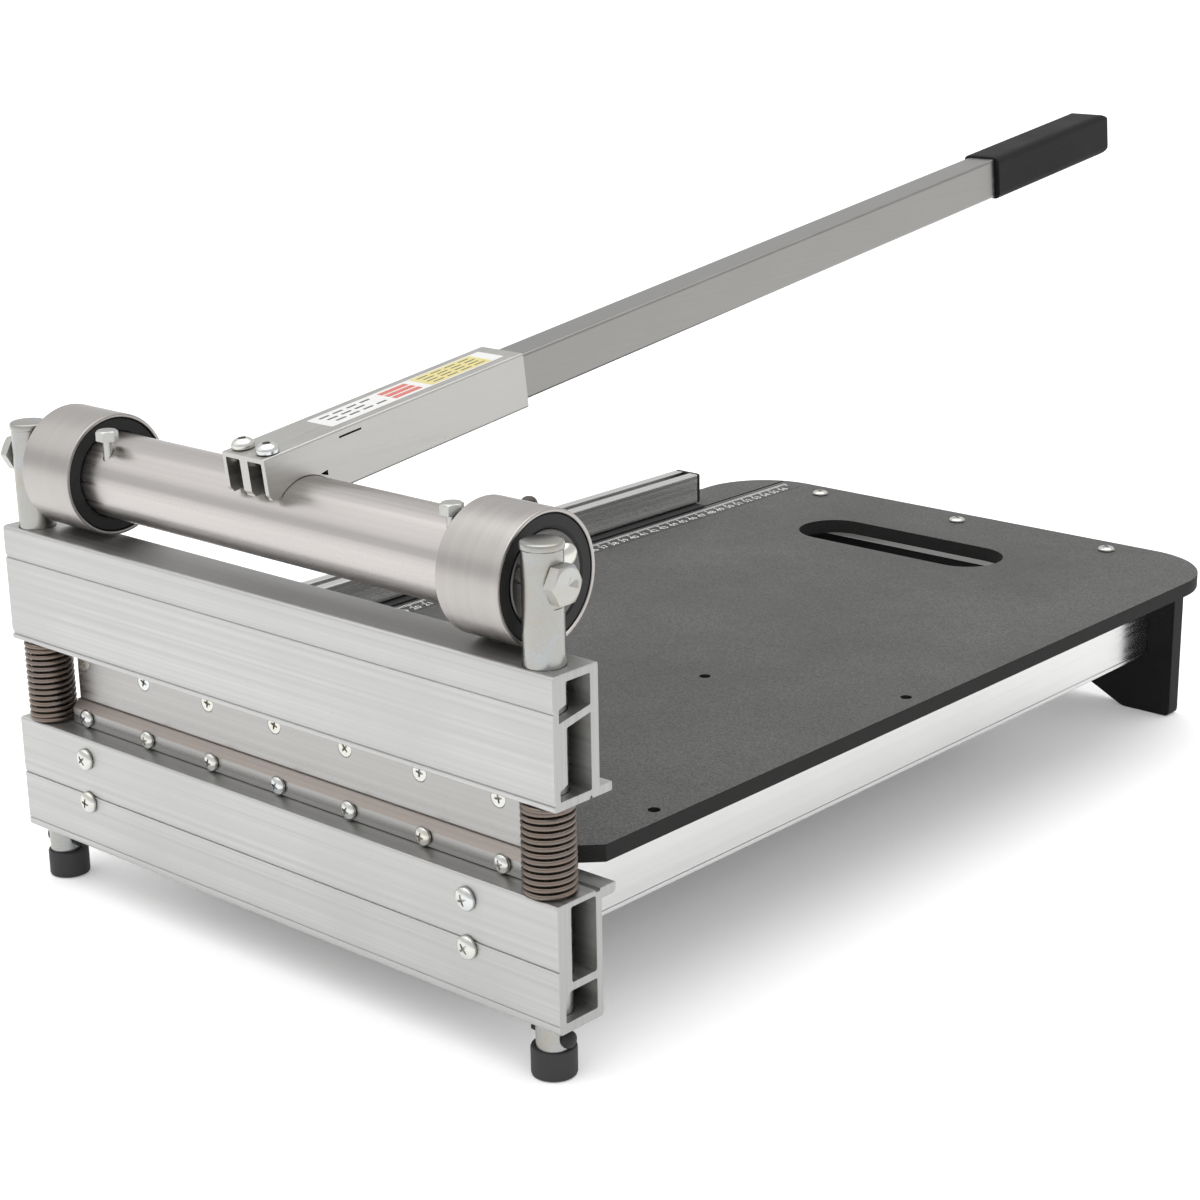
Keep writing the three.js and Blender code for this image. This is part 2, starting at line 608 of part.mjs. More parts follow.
const barHalf = SLOT_HALF - GAP;
const barShape = rectangle(-barHalf, SLOT_LOW + GAP, barHalf, SLOT_HIGH - GAP, 1.6);
barShape.holes.push(rectangle(
  BAR_WALL - barHalf, SLOT_LOW + GAP + BAR_WALL,
  barHalf - BAR_WALL, SLOT_HIGH - GAP - BAR_WALL, 0.8, THREE.Path));
add("handle_tube", "steel", onHandle(alongY(barShape, BAR_START, BAR_END, 3)));

const gripSide = outline([
  [GRIP_START, GRIP_LOW, 1.5], [GRIP_END, GRIP_LOW, 11], [GRIP_END, GRIP_HIGH, 11], [GRIP_START, GRIP_HIGH, 1.5],
]);
const gripPlan = outline([
  [-GRIP_HALF, GRIP_START, 1], [GRIP_HALF, GRIP_START, 1],
  [GRIP_HALF, GRIP_END, 9], [-GRIP_HALF, GRIP_END, 9],
]);
const gripSection = rectangle(-GRIP_HALF, GRIP_LOW, GRIP_HALF, GRIP_HIGH, 4.5);
const gripBlock = solid(alongX(gripSide, -20, 20, 6))
  .intersect(solid(alongZ(gripPlan, 0, 50, 6)))
  .intersect(solid(alongY(gripSection, GRIP_START - 1, GRIP_END + 1, 4)));
const gripBore = alongY(
  rectangle(-SLOT_HALF, SLOT_LOW, SLOT_HALF, SLOT_HIGH, 1.4), GRIP_START - 5, BAR_END + GAP, 2);
add("handle_grip", "rubber", onHandle(geometryOf(gripBlock.subtract(solid(gripBore)))));

// ---------------------------------------------------------------- origin

// the origin is the middle of the footprint, on the floor
const box = new THREE.Box3().setFromObject(assembly);
const middle = box.getCenter(new THREE.Vector3());
assembly.children.forEach((mesh) => mesh.geometry.translate(-middle.x, -middle.y, -box.min.z));

export default assembly;
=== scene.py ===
"""A lever shear for floor tiles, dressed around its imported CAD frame."""

import math

import bmesh
import bpy
from mathutils import Matrix, Vector


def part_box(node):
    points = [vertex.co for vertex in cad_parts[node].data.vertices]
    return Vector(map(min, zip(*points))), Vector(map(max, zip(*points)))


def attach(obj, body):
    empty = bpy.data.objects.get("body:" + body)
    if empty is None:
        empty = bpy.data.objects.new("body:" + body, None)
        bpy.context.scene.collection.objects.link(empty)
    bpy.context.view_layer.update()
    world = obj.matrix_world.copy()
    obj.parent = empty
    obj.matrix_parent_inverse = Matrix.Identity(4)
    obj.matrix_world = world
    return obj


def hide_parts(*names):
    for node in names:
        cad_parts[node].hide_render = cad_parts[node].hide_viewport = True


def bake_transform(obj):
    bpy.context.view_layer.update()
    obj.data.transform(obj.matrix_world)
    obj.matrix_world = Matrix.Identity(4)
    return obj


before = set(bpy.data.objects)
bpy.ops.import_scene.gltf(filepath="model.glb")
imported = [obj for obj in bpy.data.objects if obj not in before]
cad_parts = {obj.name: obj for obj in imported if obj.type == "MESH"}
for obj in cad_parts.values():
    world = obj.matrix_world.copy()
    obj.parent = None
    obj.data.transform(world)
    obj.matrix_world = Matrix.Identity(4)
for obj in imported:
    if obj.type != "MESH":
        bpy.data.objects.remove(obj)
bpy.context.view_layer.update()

# ------------------------------------------------------------------ the frame, in millimetres


def box(node):
    low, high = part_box(node)
    return low * 1000, high * 1000


def centre(node):
    low, high = box(node)
    return (low + high) / 2


beam_low, beam_high = box("lower_beam")
FRONT = beam_low.y  # the beams' front face
BEAM_HALF = beam_high.x
upper_low = box("upper_beam")[0]
post_at = {side: centre(f"{side}_post") for side in ("left", "right")}
for side in post_at:
    post_at[side].y = centre(f"{side}_foot_pin").y
TUBE = centre("cross_tube")
HANDLE_ANGLE = math.radians(7.13)
SIGN = {"left": -1, "right": 1}

# local (x, y, z) of a flat outline and its depth, turned so that the depth runs along a world axis
ALONG = {
    "x": Matrix(((0, 0, 1, 0), (1, 0, 0, 0), (0, 1, 0, 0), (0, 0, 0, 1))),
    "y": Matrix(((1, 0, 0, 0), (0, 0, -1, 0), (0, 1, 0, 0), (0, 0, 0, 1))),
    "z": Matrix.Identity(4),
}
# local +Z of a turned piece, pointed along a world direction
TOWARDS = {
    "+x": Matrix.Rotation(math.pi / 2, 4, "Y"),
    "-x": Matrix.Rotation(-math.pi / 2, 4, "Y"),
    "-y": Matrix.Rotation(math.pi / 2, 4, "X"),
    "+z": Matrix.Identity(4),
}
ON_HANDLE = Matrix.Translation(TUBE) @ Matrix.Rotation(HANDLE_ANGLE, 4, "X")


def at(x, y, z):
    return Matrix.Translation((x, y, z))


# ------------------------------------------------------------------ mesh helpers, in millimetres


def rounded(points, steps=5):
    """[a, b] or [a, b, r] corners; a corner with a radius becomes a curve of `steps` pieces."""
    out = []
    for i, point in enumerate(points):
        corner = Vector(point[:2])
        radius = point[2] if len(point) > 2 else 0
        if not radius:
            out.append(corner)
            continue
        before = corner + (Vector(points[i - 1][:2]) - corner).normalized() * radius
        after = corner + (Vector(points[(i + 1) % len(points)][:2]) - corner).normalized() * radius
        for k in range(steps + 1):
            t = k / steps
            out.append(before * (1 - t) ** 2 + corner * 2 * t * (1 - t) + after * t ** 2)
    return out


def rectangle(a0, b0, a1, b1, radius=0, steps=5):
    return rounded([[a0, b0, radius], [a1, b0, radius], [a1, b1, radius], [a0, b1, radius]], steps)


def arc(a, b, radius, start, end, steps=16):
    angles = [math.radians(start + (end - start) * k / steps) for k in range(steps + 1)]
    return [Vector((a + radius * math.cos(t), b + radius * math.sin(t))) for t in angles]


def prism(loops, low, high, axis, bevel=0.0):
    """Flat outline with holes, given depth along an axis; the sawn ends get a small bevel."""
    curve = bpy.data.curves.new("outline", "CURVE")
    curve.dimensions = "2D"
    curve.fill_mode = "BOTH"
    curve.extrude = (high - low) / 2 - bevel
    curve.bevel_depth = bevel
    curve.bevel_resolution = 1
    curve.offset = -bevel
    for loop in loops:
        spline = curve.splines.new("POLY")
        spline.points.add(len(loop) - 1)
        for point, corner in zip(spline.points, loop):
            point.co = (corner[0], corner[1], 0, 1)
        spline.use_cyclic_u = True
    holder = bpy.data.objects.new("outline", curve)
    mesh = bpy.data.meshes.new_from_object(holder)
    bpy.data.objects.remove(holder)
    bpy.data.curves.remove(curve)
    middle = (low + high) / 2
    shift = {"x": (middle, 0, 0), "y": (0, middle, 0), "z": (0, 0, middle)}[axis]
    mesh.transform(Matrix.Translation(shift) @ ALONG[axis])
    weld(mesh)
    return mesh


def weld(mesh, distance=1e-4):
    build = bmesh.new()
    build.from_mesh(mesh)
    bmesh.ops.remove_doubles(build, verts=build.verts, dist=distance)
    bmesh.ops.recalc_face_normals(build, faces=build.faces)
    build.to_mesh(mesh)
    build.free()


def lathe(profile, segments=48, closed=False):
    """[radius, height] points turned about local +Z; `closed` joins the last point to the first."""
    verts, rings = [], []
    for radius, height in profile:
        if radius < 1e-6:
            rings.append([len(verts)] * segments)
            verts.append((0, 0, height))
            continue
        rings.append(list(range(len(verts), len(verts) + segments)))
        for k in range(segments):
            angle = 2 * math.pi * k / segments
            verts.append((radius * math.cos(angle), radius * math.sin(angle), height))
    faces = []
    pairs = list(zip(rings, rings[1:])) + ([(rings[-1], rings[0])] if closed else [])
    for below, above in pairs:
        for k in range(segments):
            nxt = (k + 1) % segments
            corners = [below[k], below[nxt], above[nxt], above[k]]
            faces.append(list(dict.fromkeys(corners)))
    mesh = bpy.data.meshes.new("lathe")
    mesh.from_pydata(verts, [], [f for f in faces if len(f) > 2])
    weld(mesh)
    return mesh


def hexagon(across, height):
    loop = arc(0, 0, across / math.sqrt(3), 0, 300, 5)
    return prism([loop], 0, height, "z")


def boolean(mesh, operation, *tools):
    """The mesh with each tool mesh cut away from it, joined to it or kept inside it."""
    host = bpy.data.objects.new("host", mesh)
    bpy.context.scene.collection.objects.link(host)
    helpers = []
    for tool in tools:
        helper = bpy.data.objects.new("tool", tool)
        bpy.context.scene.collection.objects.link(helper)
        modifier = host.modifiers.new("cut", "BOOLEAN")
        modifier.operation = operation
        modifier.solver = "EXACT"
        modifier.object = helper
        helpers.append(helper)
    graph = bpy.context.evaluated_depsgraph_get()
    result = bpy.data.meshes.new_from_object(host.evaluated_get(graph))
    for item in [host, *helpers]:
        bpy.data.objects.remove(item)
    return result


def moved(mesh, *matrices):
    copy = mesh.copy()
    for matrix in matrices:
        copy.transform(matrix)
    return copy


def joined(*meshes):
    build = bmesh.new()
    for mesh in meshes:
        build.from_mesh(mesh)
    mesh = bpy.data.meshes.new("joined")
    build.to_mesh(mesh)
    build.free()
    return mesh


def piece(name, mesh, look, body, nodes=(), bevel=0.0, crease=35, segments=2):
    """Puts a mesh in the scene in metres, on its body, in the place of the CAD nodes it stands for."""
    data = mesh.copy()
    data.name = name
    data.transform(Matrix.Scale(0.001, 4))
    data.materials.clear()
    for material in look if isinstance(look, (list, tuple)) else [look]:
        data.materials.append(material)
    data.shade_smooth()
    data.set_sharp_from_angle(angle=math.radians(crease))
    thing = bpy.data.objects.new(name, data)
    bpy.context.scene.collection.objects.link(thing)
    if bevel:
        edge = thing.modifiers.new("edges", "BEVEL")
        edge.width = bevel * 0.001
        edge.segments = segments
        edge.limit_method = "ANGLE"
        edge.angle_limit = math.radians(crease)
        edge.harden_normals = True
        edge.use_clamp_overlap = True
    even = thing.modifiers.new("even", "WEIGHTED_NORMAL")
    even.keep_sharp = True
    even.weight = 100
    if body:
        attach(thing, body)
    if nodes:
        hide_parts(*nodes)
    return thing


# ------------------------------------------------------------------ materials


class Look:
    """A principled material with procedural colour, roughness and bump."""

    def __init__(self, name, color, roughness, metallic=0.0, **sockets):
        self.material = bpy.data.materials.new(name)
        self.material.use_nodes = True
        self.tree = self.material.node_tree
        self.shader = self.tree.nodes["Principled BSDF"]
        self.color = color
        self.roughness = roughness
        self.set(self.shader, "Base Color", (*color, 1))
        self.set(self.shader, "Roughness", roughness)
        self.set(self.shader, "Metallic", metallic)
        for key, value in sockets.items():
            self.set(self.shader, key.replace("_", " "), value)
        coordinates = self.tree.nodes.new("ShaderNodeTexCoord")
        self.place = coordinates.outputs["Object"]
        self.height = None

    @staticmethod
    def set(node, socket, value):
        node.inputs[socket].default_value = value

    def node(self, kind, **settings):
        made = self.tree.nodes.new(kind)
        for key, value in settings.items():
            setattr(made, key, value)
        return made

    def link(self, source, target):
        self.tree.links.new(source, target)

    def scaled(self, scale, turn=(0, 0, 0)):
        mapping = self.node("ShaderNodeMapping")
        self.set(mapping, "Scale", scale)
        self.set(mapping, "Rotation", turn)
        self.link(self.place, mapping.inputs["Vector"])
        return mapping.outputs["Vector"]

    def noise(self, scale, detail=4.0, rough=0.55, distortion=0.0, turn=(0, 0, 0)):
        """Noise value; `scale` is cycles per metre along X, Y and Z."""
        texture = self.node("ShaderNodeTexNoise")
        self.set(texture, "Scale", 1.0)
        self.set(texture, "Detail", detail)
        self.set(texture, "Roughness", rough)
        self.set(texture, "Distortion", distortion)
        self.link(self.scaled(scale, turn), texture.inputs["Vector"])
        return texture.outputs["Fac"]

    def spots(self, scale, low, high):
        """Small round specks, 1 inside a speck and 0 outside."""
        texture = self.node("ShaderNodeTexVoronoi")
        self.set(texture, "Scale", 1.0)
        self.link(self.scaled(scale), texture.inputs["Vector"])
        return self.stretch(texture.outputs["Distance"], low, high, 1.0, 0.0)

    def stretch(self, value, low, high, to_low, to_high):
        node = self.node("ShaderNodeMapRange")
        node.clamp = True
        limits = {"From Min": low, "From Max": high, "To Min": to_low, "To Max": to_high}
        for socket, number in limits.items():
            self.set(node, socket, number)
        self.link(value, node.inputs["Value"])
        return node.outputs["Result"]

    def mix(self, factor, first, second):
        node = self.node("ShaderNodeMix", data_type="RGBA")
        self.link(factor, node.inputs["Factor"])
        for socket, value in ((6, first), (7, second)):
            if isinstance(value, tuple):
                node.inputs[socket].default_value = (*value, 1)
            else:
                self.link(value, node.inputs[socket])
        return node.outputs[2]

    def shade(self, amount):
        return tuple(min(1.0, max(0.0, c * amount)) for c in self.color)

    def paint(self, color_socket):
        self.link(color_socket, self.shader.inputs["Base Color"])

    def rough(self, value, low, high, spread=(0.3, 0.7)):
        self.link(self.stretch(value, *spread, low, high), self.shader.inputs["Roughness"])

    def bump(self, value, strength, distance):
        node = self.node("ShaderNodeBump")
        self.set(node, "Strength", strength)
        self.set(node, "Distance", distance)
        self.link(value, node.inputs["Height"])
        if self.height is not None:
            self.link(self.height, node.inputs["Normal"])
        self.height = node.outputs["Normal"]
        self.link(self.height, self.shader.inputs["Normal"])


def brushed(name, color, roughness, along, depth=0.25, contrast=0.06, spread=0.1, smudge=0.08):
    """Metal with fine grain drawn along one axis, faint smudges and small nicks."""
    look = Look(name, color, roughness, 1.0)
    fine = {"x": (4, 1800, 1800), "y": (1800, 4, 1800), "z": (1800, 1800, 4), "ring": (1800, 5, 5)}[along]
    wide = {"x": (1.2, 420, 420), "y": (420, 1.2, 420), "z": (420, 420, 1.2), "ring": (420, 3, 3)}[along]
    grain = look.noise(fine, 3.0, 0.6)
    streak = look.noise(wide, 4.0, 0.6)
    cloud = look.noise((14, 14, 14), 3.0, 0.5)
    nicks = look.spots((95, 95, 95), 0.035, 0.075)
    tone = look.mix(look.stretch(streak, 0.3, 0.7, 0, 1), look.shade(1 - contrast), look.shade(1 + contrast))
    tone = look.mix(look.stretch(cloud, 0.35, 0.75, 0, smudge * 4), tone, look.shade(0.9))
    tone = look.mix(look.stretch(nicks, 0, 1, 0, 0.35), tone, look.shade(0.72))
    look.paint(tone)
    look.rough(streak, roughness - spread / 2, roughness + spread / 2)
    look.bump(grain, depth, 0.00004)
    look.bump(nicks, 0.3, -0.00008)
    return look.material


def plated(name, color, roughness, patch=0.1):
    """Zinc plate: faint bluish and straw patches and a fine crystalline mottle."""
    look = Look(name, color, roughness, 1.0)
    cloud = look.noise((60, 60, 60), 4.0, 0.6, 0.6)
    fine = look.noise((900, 900, 900), 3.0, 0.6)
    warm = tuple(c * k for c, k in zip(color, (0.98, 0.94, 0.86)))
    cool = tuple(c * k for c, k in zip(color, (0.93, 0.97, 1.0)))
    tone = look.mix(look.stretch(cloud, 0.35, 0.65, 0, 1), cool, warm)
    tone = look.mix(look.stretch(fine, 0.45, 0.7, 0, patch * 3), tone, look.shade(0.82))
    look.paint(tone)
    look.rough(cloud, roughness - 0.06, roughness + 0.1)
    look.bump(fine, 0.22, 0.00004)
    return look.material


def moulded(name, color, roughness, grain=700, depth=0.3, dust=0.2, **sockets):
    """Rubber or plastic with a fine pebbled skin and a trace of dust."""
    look = Look(name, color, roughness, 0.0, **sockets)
    pebble = look.noise((grain, grain, grain), 3.0, 0.6)
    cloud = look.noise((22, 22, 22), 4.0, 0.6)
    specks = look.spots((240, 240, 240), 0.05, 0.11)
    tone = look.mix(look.stretch(cloud, 0.3, 0.75, 0, dust), color, tuple(c + 0.05 for c in color))
    tone = look.mix(look.stretch(specks, 0, 1, 0, 0.18), tone, tuple(c + 0.12 for c in color))
    look.paint(tone)
    look.rough(cloud, roughness - 0.08, roughness + 0.08)
    look.bump(pebble, depth, 0.0001)
    return look.material


def board_top():
    """Grey laminate: a fine two-tone speckle over a slightly cloudy ground."""
    look = Look("board_laminate", (0.08, 0.079, 0.077), 0.58, 0.0, Specular_IOR_Level=0.2)
    speck = look.noise((850, 850, 850), 2.0, 0.7)
    cloud = look.noise((9, 9, 9), 4.0, 0.6)
    marks = look.noise((18, 130, 60), 4.0, 0.6, 0.5)
    tone = look.mix(look.stretch(speck, 0.36, 0.66, 0, 1), look.shade(0.55), look.shade(1.5))
    tone = look.mix(look.stretch(cloud, 0.3, 0.75, 0, 0.45), tone, look.shade(0.86))
    tone = look.mix(look.stretch(marks, 0.68, 0.8, 0, 0.3), tone, look.shade(1.25))
    look.paint(tone)
    look.rough(cloud, 0.44, 0.58)
    look.bump(speck, 0.25, 0.00006)
    return look.material


def board_edge(name, color):
    """Sawn fibreboard edge: dark, with fibres drawn along the edge."""
    look = Look(name, color, 0.7, 0.0, Specular_IOR_Level=0.15)
    fibre = look.noise((60, 60, 1800), 4.0, 0.65)
    mottled = look.noise((700, 700, 500), 3.0, 0.6)
    tone = look.mix(look.stretch(fibre, 0.35, 0.68, 0, 1), look.shade(0.75), look.shade(1.25))
    tone = look.mix(look.stretch(mottled, 0.5, 0.7, 0, 0.5), tone, look.shade(0.6))
    look.paint(tone)
    look.rough(fibre, 0.6, 0.8)
    look.bump(mottled, 0.4, 0.00012)
    return look.material


def printed(name, color, roughness=0.35):
    """Printed film: nearly even colour with faint print grain."""
    look = Look(name, color, roughness)
    grain = look.noise((2500, 2500, 2500), 2.0, 0.6)
    cloud = look.noise((40, 40, 40), 3.0, 0.6)
    tone = look.mix(look.stretch(grain, 0.3, 0.7, 0, 1), look.shade(0.93), look.shade(1.05))
    look.paint(tone)
    look.rough(cloud, roughness - 0.05, roughness + 0.1)
    look.bump(grain, 0.08, 0.00002)
    return look.material


BEAM = brushed("beam_aluminium", (0.49, 0.49, 0.483), 0.44, "x", 0.35, 0.15, 0.14, 0.14)
BEAM_CUT = brushed("beam_sawn_end", (0.42, 0.42, 0.415), 0.5, "z", 0.6, 0.14, 0.14)
SOCKET = brushed("socket_steel", (0.46, 0.455, 0.437), 0.38, "y", 0.25, 0.06, 0.12)
BAR = brushed("handle_steel", (0.28, 0.276, 0.266), 0.34, "y", 0.25, 0.06, 0.12)
TUBE_STEEL = brushed("tube_steel", (0.5, 0.475, 0.46), 0.3, "x", 0.2, 0.06, 0.1)
ROLLER = brushed("roller_steel", (0.42, 0.4, 0.385), 0.33, "ring", 0.1, 0.05, 0.06)
# very dark base colour for the tube's steel end discs: painted shade and painted dark reflection
PLUG_PAINTED_SHADE = brushed("plug_steel_painted_shade", (0.12, 0.118, 0.115), 0.42, "z", 0.25, 0.1, 0.12)
KNIFE = brushed("knife_steel", (0.38, 0.374, 0.364), 0.3, "x", 0.3, 0.12, 0.12)
# warm brown base colour for the anvil bar's top and front slope: a painted reflection of warm surroundings
ANVIL_SLOPE_REFLECTION = brushed("anvil_painted_reflection", (0.36, 0.32, 0.295), 0.42, "x", 0.3, 0.14, 0.12)
HOLDER = brushed("holder_steel", (0.36, 0.36, 0.36), 0.42, "x", 0.3, 0.1, 0.12)
RAIL = brushed("rail_aluminium", (0.63, 0.63, 0.625), 0.2, "y", 0.15, 0.05, 0.1)
CROSSBAR = brushed("crossbar_aluminium", (0.55, 0.55, 0.54), 0.4, "x", 0.3, 0.06, 0.12)
FENCE = brushed("fence_aluminium", (0.6, 0.6, 0.59), 0.27, "y", 0.25, 0.08, 0.12)
POST = plated("post_zinc", (0.38, 0.38, 0.372), 0.27)
SCREW = plated("screw_zinc", (0.66, 0.66, 0.645), 0.24)
BOLT = plated("bolt_zinc", (0.48, 0.48, 0.47), 0.36)
SPRING = plated("spring_bronzed", (0.2, 0.165, 0.145), 0.3, 0.2)
BUSH = moulded("bush_black", (0.012, 0.012, 0.012), 0.5, Specular_IOR_Level=0.25)
GRIP = moulded("grip_rubber", (0.011, 0.0105, 0.011), 0.6, 500, 0.35, 0.08, Specular_IOR_Level=0.15)
FOOT = moulded("foot_rubber", (0.026, 0.026, 0.027), 0.62, 500, 0.4, 0.3, Specular_IOR_Level=0.3)
TRIM = moulded("trim_black", (0.014, 0.014, 0.014), 0.5, Specular_IOR_Level=0.25)
KNOB = moulded("knob_brown", (0.04, 0.026, 0.019), 0.4)
BOARD = board_top()
BOARD_EDGE = board_edge("board_sawn_edge", (0.018, 0.018, 0.0175))
BOARD_LINE = board_edge("board_dark_line", (0.012, 0.012, 0.012))
LEG = moulded("leg_laminate", (0.006, 0.0062, 0.0066), 0.42, 900, 0.2, 0.06, Specular_IOR_Level=0.15)
LEG_EDGE = board_edge("leg_sawn_edge", (0.02, 0.02, 0.021))
RULER = printed("ruler_film", (0.04, 0.04, 0.04), 0.5)
RULER_WHITE = printed("ruler_white", (0.75, 0.75, 0.74), 0.5)
LABEL_WHITE = printed("label_white", (0.66, 0.66, 0.65))
LABEL_RED = printed("label_red", (0.52, 0.12, 0.09))
LABEL_YELLOW = printed("label_yellow", (0.6, 0.52, 0.2))
LABEL_DARK = printed("label_dark", (0.06, 0.06, 0.06))

# ------------------------------------------------------------------ beams

LIP = beam_high.y  # back edge of the lip on both beams


def face(points):
    """[y from the beams' front face, z above the beam's lowest edge, radius] to outline points."""
    return [[FRONT + p[0], *p[1:]] for p in points]


def beam(name, outline, holes, body, z0):
    loops = [rounded([[p[0], z0 + p[1], *p[2:]] for p in face(outline)])]
    loops += [rounded([[p[0], z0 + p[1], *p[2:]] for p in face(hole)]) for hole in holes]
    mesh = prism(loops, -BEAM_HALF, BEAM_HALF, "x", 0.25)
    drills = [
        moved(lathe([[0, -100], [10, -100], [10, 200], [0, 200]], 64), at(post_at[s].x, post_at[s].y, z0))
        for s in post_at
    ]
    mesh = boolean(mesh, "DIFFERENCE", *drills)
    thing = piece(name, mesh, [BEAM, BEAM_CUT], body, [name], crease=28)
    for polygon in thing.data.polygons:
        if abs(polygon.normal.x) > 0.5:
            polygon.material_index = 1
    return thing


lower_outline = [
    [0, 0, 2.4], [29.8, 0, 2], [29.8, 58.4, 0.6], [38, 58.4, 1], [39.5, 60.2, 0.8], [39.5, 63.75, 0.8],
    [29, 63.75, 0.4], [28.4, 62.4], [26, 62.4], [25.4, 63.75, 0.4], [0, 63.75, 1.6],
    [0, 32.5, 0.25], [0.8, 32.3], [0.8, 31.5], [0, 31.3, 0.25],
    [0, 5.3, 0.2], [0.5, 5.1], [0.5, 4.5], [0, 4.3, 0.2],
]
lower_holes = [
    [[9, 24, 1.5], [25.8, 24, 1.5], [25.8, 61, 1.5], [9, 61, 1.5]],
    [[4.6, 5, 1], [25.8, 5, 1], [25.8, 20, 1], [8.2, 20, 1], [4.6, 16, 1]],
]
beam("lower_beam", lower_outline, lower_holes, "base", beam_low.z)

upper_outline = [
    [0, 0, 1.0], [23, 0, 0.3], [23.6, 1.4], [24.4, 1.4], [25, 0, 0.3], [38, 0, 0.8], [38, 4.5, 0.8],
    [29.8, 4.5, 0.6], [29.8, 63.4, 1.6], [0, 63.4, 2.4],
    [0, 47.2, 0.25], [0.8, 46.9], [0.8, 45.9], [0, 45.6, 0.25],
    [0, 4.9, 0.3], [0.9, 4.5], [0.9, 2.9], [0, 2.5, 0.3],
]
upper_holes = [
    [[4, 41.1, 0.5], [24.5, 44.8, 0.8], [24.5, 59.3, 1], [8.8, 59.3, 1], [8.8, 48.8], [4, 47.3]],
    [[4, 4.3, 0.8], [24.5, 4.3, 0.8], [24.5, 41, 0.8], [8.8, 37.8, 0.8], [8.8, 11.3], [4, 9.3]],
]
beam("upper_beam", upper_outline, upper_holes, "head", upper_low.z)

# ------------------------------------------------------------------ screws


def cross_recess(size, depth):
    half = [[-size, 0.42], [-size * 0.55, 0.62], [0, 0.7], [size * 0.55, 0.62], [size, 0.42]]
    outline = rounded(half + [[a, -b] for a, b in reversed(half)])
    bars = [prism([outline], -depth, depth, "z") for _ in range(2)]
    bars[1].transform(Matrix.Rotation(math.pi / 2, 4, "Z"))
    return bars


def pan_head(radius, height, shank, length, recess=True):
    dome = [[radius * math.cos(t), height * (0.3 + 0.7 * math.sin(t))]
            for t in [math.radians(90 * k / 8) for k in range(8)]]
    mesh = lathe([[0, -length], [shank, -length], [shank, 0], [radius - 0.3, 0], [radius, 0.25]]
                 + dome + [[0, height]], 40)
    if recess:
        cuts = [moved(bar, at(0, 0, height)) for bar in cross_recess(radius * 0.48, height * 0.55)]
        mesh = boolean(mesh, "DIFFERENCE", *cuts)
    return mesh


def flat_head(radius, shank, length):
    mesh = lathe([[0, -length], [shank, -length], [shank, shank - radius], [radius - 0.1, -0.35],
                  [radius, -0.15], [radius - 0.15, 0], [0, 0]], 40)
    return boolean(mesh, "DIFFERENCE", *cross_recess(radius * 0.55, 1.6))


def hex_head(across, height, shank, length):
    crown = lathe([[0, -1], [across, -1], [across, height - 2.2], [across * 0.58, height - 0.9],
                   [across * 0.47, height], [0, height]], 48)
    head = boolean(hexagon(across, height), "INTERSECT", crown)
    return joined(head, lathe([[0, -length], [shank, -length], [shank, 0.3], [0, 0.3]], 24))


def screw_family(prefix, count, mesh, direction, body, turn_step):
    for i in range(count):
        name = f"{prefix}_{i + 1}"
        low, high = box(name)
        middle = (low + high) / 2
        shank_end = {
            "-y": Vector((middle.x, high.y, middle.z)),
            "+z": Vector((middle.x, middle.y, low.z)),
        }[direction]
        turned = moved(mesh, Matrix.Rotation(turn_step * (i * i + 1), 4, "Z"), TOWARDS[direction])
        piece(name, moved(turned, Matrix.Translation(shank_end)), SCREW, body, [name], crease=32)


def from_shank_end(mesh, length):
    return moved(mesh, at(0, 0, length))


screw_family("front_screw", 4, from_shank_end(pan_head(6, 3.4, 2.6, 8.4), 8.4), "-y", "base", 0.7)
screw_family("anvil_screw", 7, from_shank_end(pan_head(4.9, 3.2, 2.1, 4.6), 4.6), "-y", "base", 0.9)
screw_family("blade_screw", 7, from_shank_end(flat_head(4.5, 2, 11), 11), "-y", "head", 0.6)
screw_family("table_screw", 3, from_shank_end(pan_head(5.2, 2.6, 2.1, 20), 20), "+z", "base", 0.5)

# ------------------------------------------------------------------ knives

anvil_low, anvil_high = box("anvil_bar")
blade_low, blade_high = box("upper_blade")
holder_low, holder_high = box("blade_holder")

anvil_loop = rounded([
    [anvil_low.y, anvil_low.z, 0.3], [anvil_high.y, anvil_low.z, 0.2], [anvil_high.y, anvil_high.z, 0.08],
    [anvil_high.y - 0.8, anvil_high.z, 0.3], [anvil_low.y, anvil_low.z + 8.55, 0.4],
])
anvil_mesh = prism([anvil_loop], anvil_low.x, anvil_high.x, "x", 0.2)
anvil = piece("anvil_bar", anvil_mesh, [KNIFE, ANVIL_SLOPE_REFLECTION], "base", ["anvil_bar"], crease=25)
# faces turned upwards get the brown painted reflection
for polygon in anvil.data.polygons:
    if polygon.normal.z > 0.2:
        polygon.material_index = 1

blade_loop = rounded([
    [blade_low.y, blade_low.z + 0.45, 0.08], [blade_low.y + 0.8, blade_low.z, 0.1],
    [blade_high.y, blade_low.z + 2.6, 0.3], [blade_high.y, blade_high.z, 0.3],
    [blade_low.y, blade_high.z, 0.3],
])
sinks = []
for number in range(7):
    spot = centre(f"blade_screw_{number + 1}")
    sink = lathe([[0, -8], [2.4, -8], [2.4, -2.5], [4.8, -0.1], [4.8, 1], [0, 1]], 32)
    sinks.append(moved(sink, TOWARDS["-y"], at(spot.x, blade_low.y, spot.z)))
blade_mesh = boolean(prism([blade_loop], blade_low.x, blade_high.x, "x", 0.2), "DIFFERENCE", *sinks)
piece("upper_blade", blade_mesh, KNIFE, "head", ["upper_blade"], crease=25)

holder_loop = rectangle(holder_low.y, holder_low.z, holder_high.y, holder_high.z, 0.6)
piece("blade_holder", prism([holder_loop], holder_low.x, holder_high.x, "x", 0.3), HOLDER, "head",
      ["blade_holder"])

# ------------------------------------------------------------------ posts, springs, feet

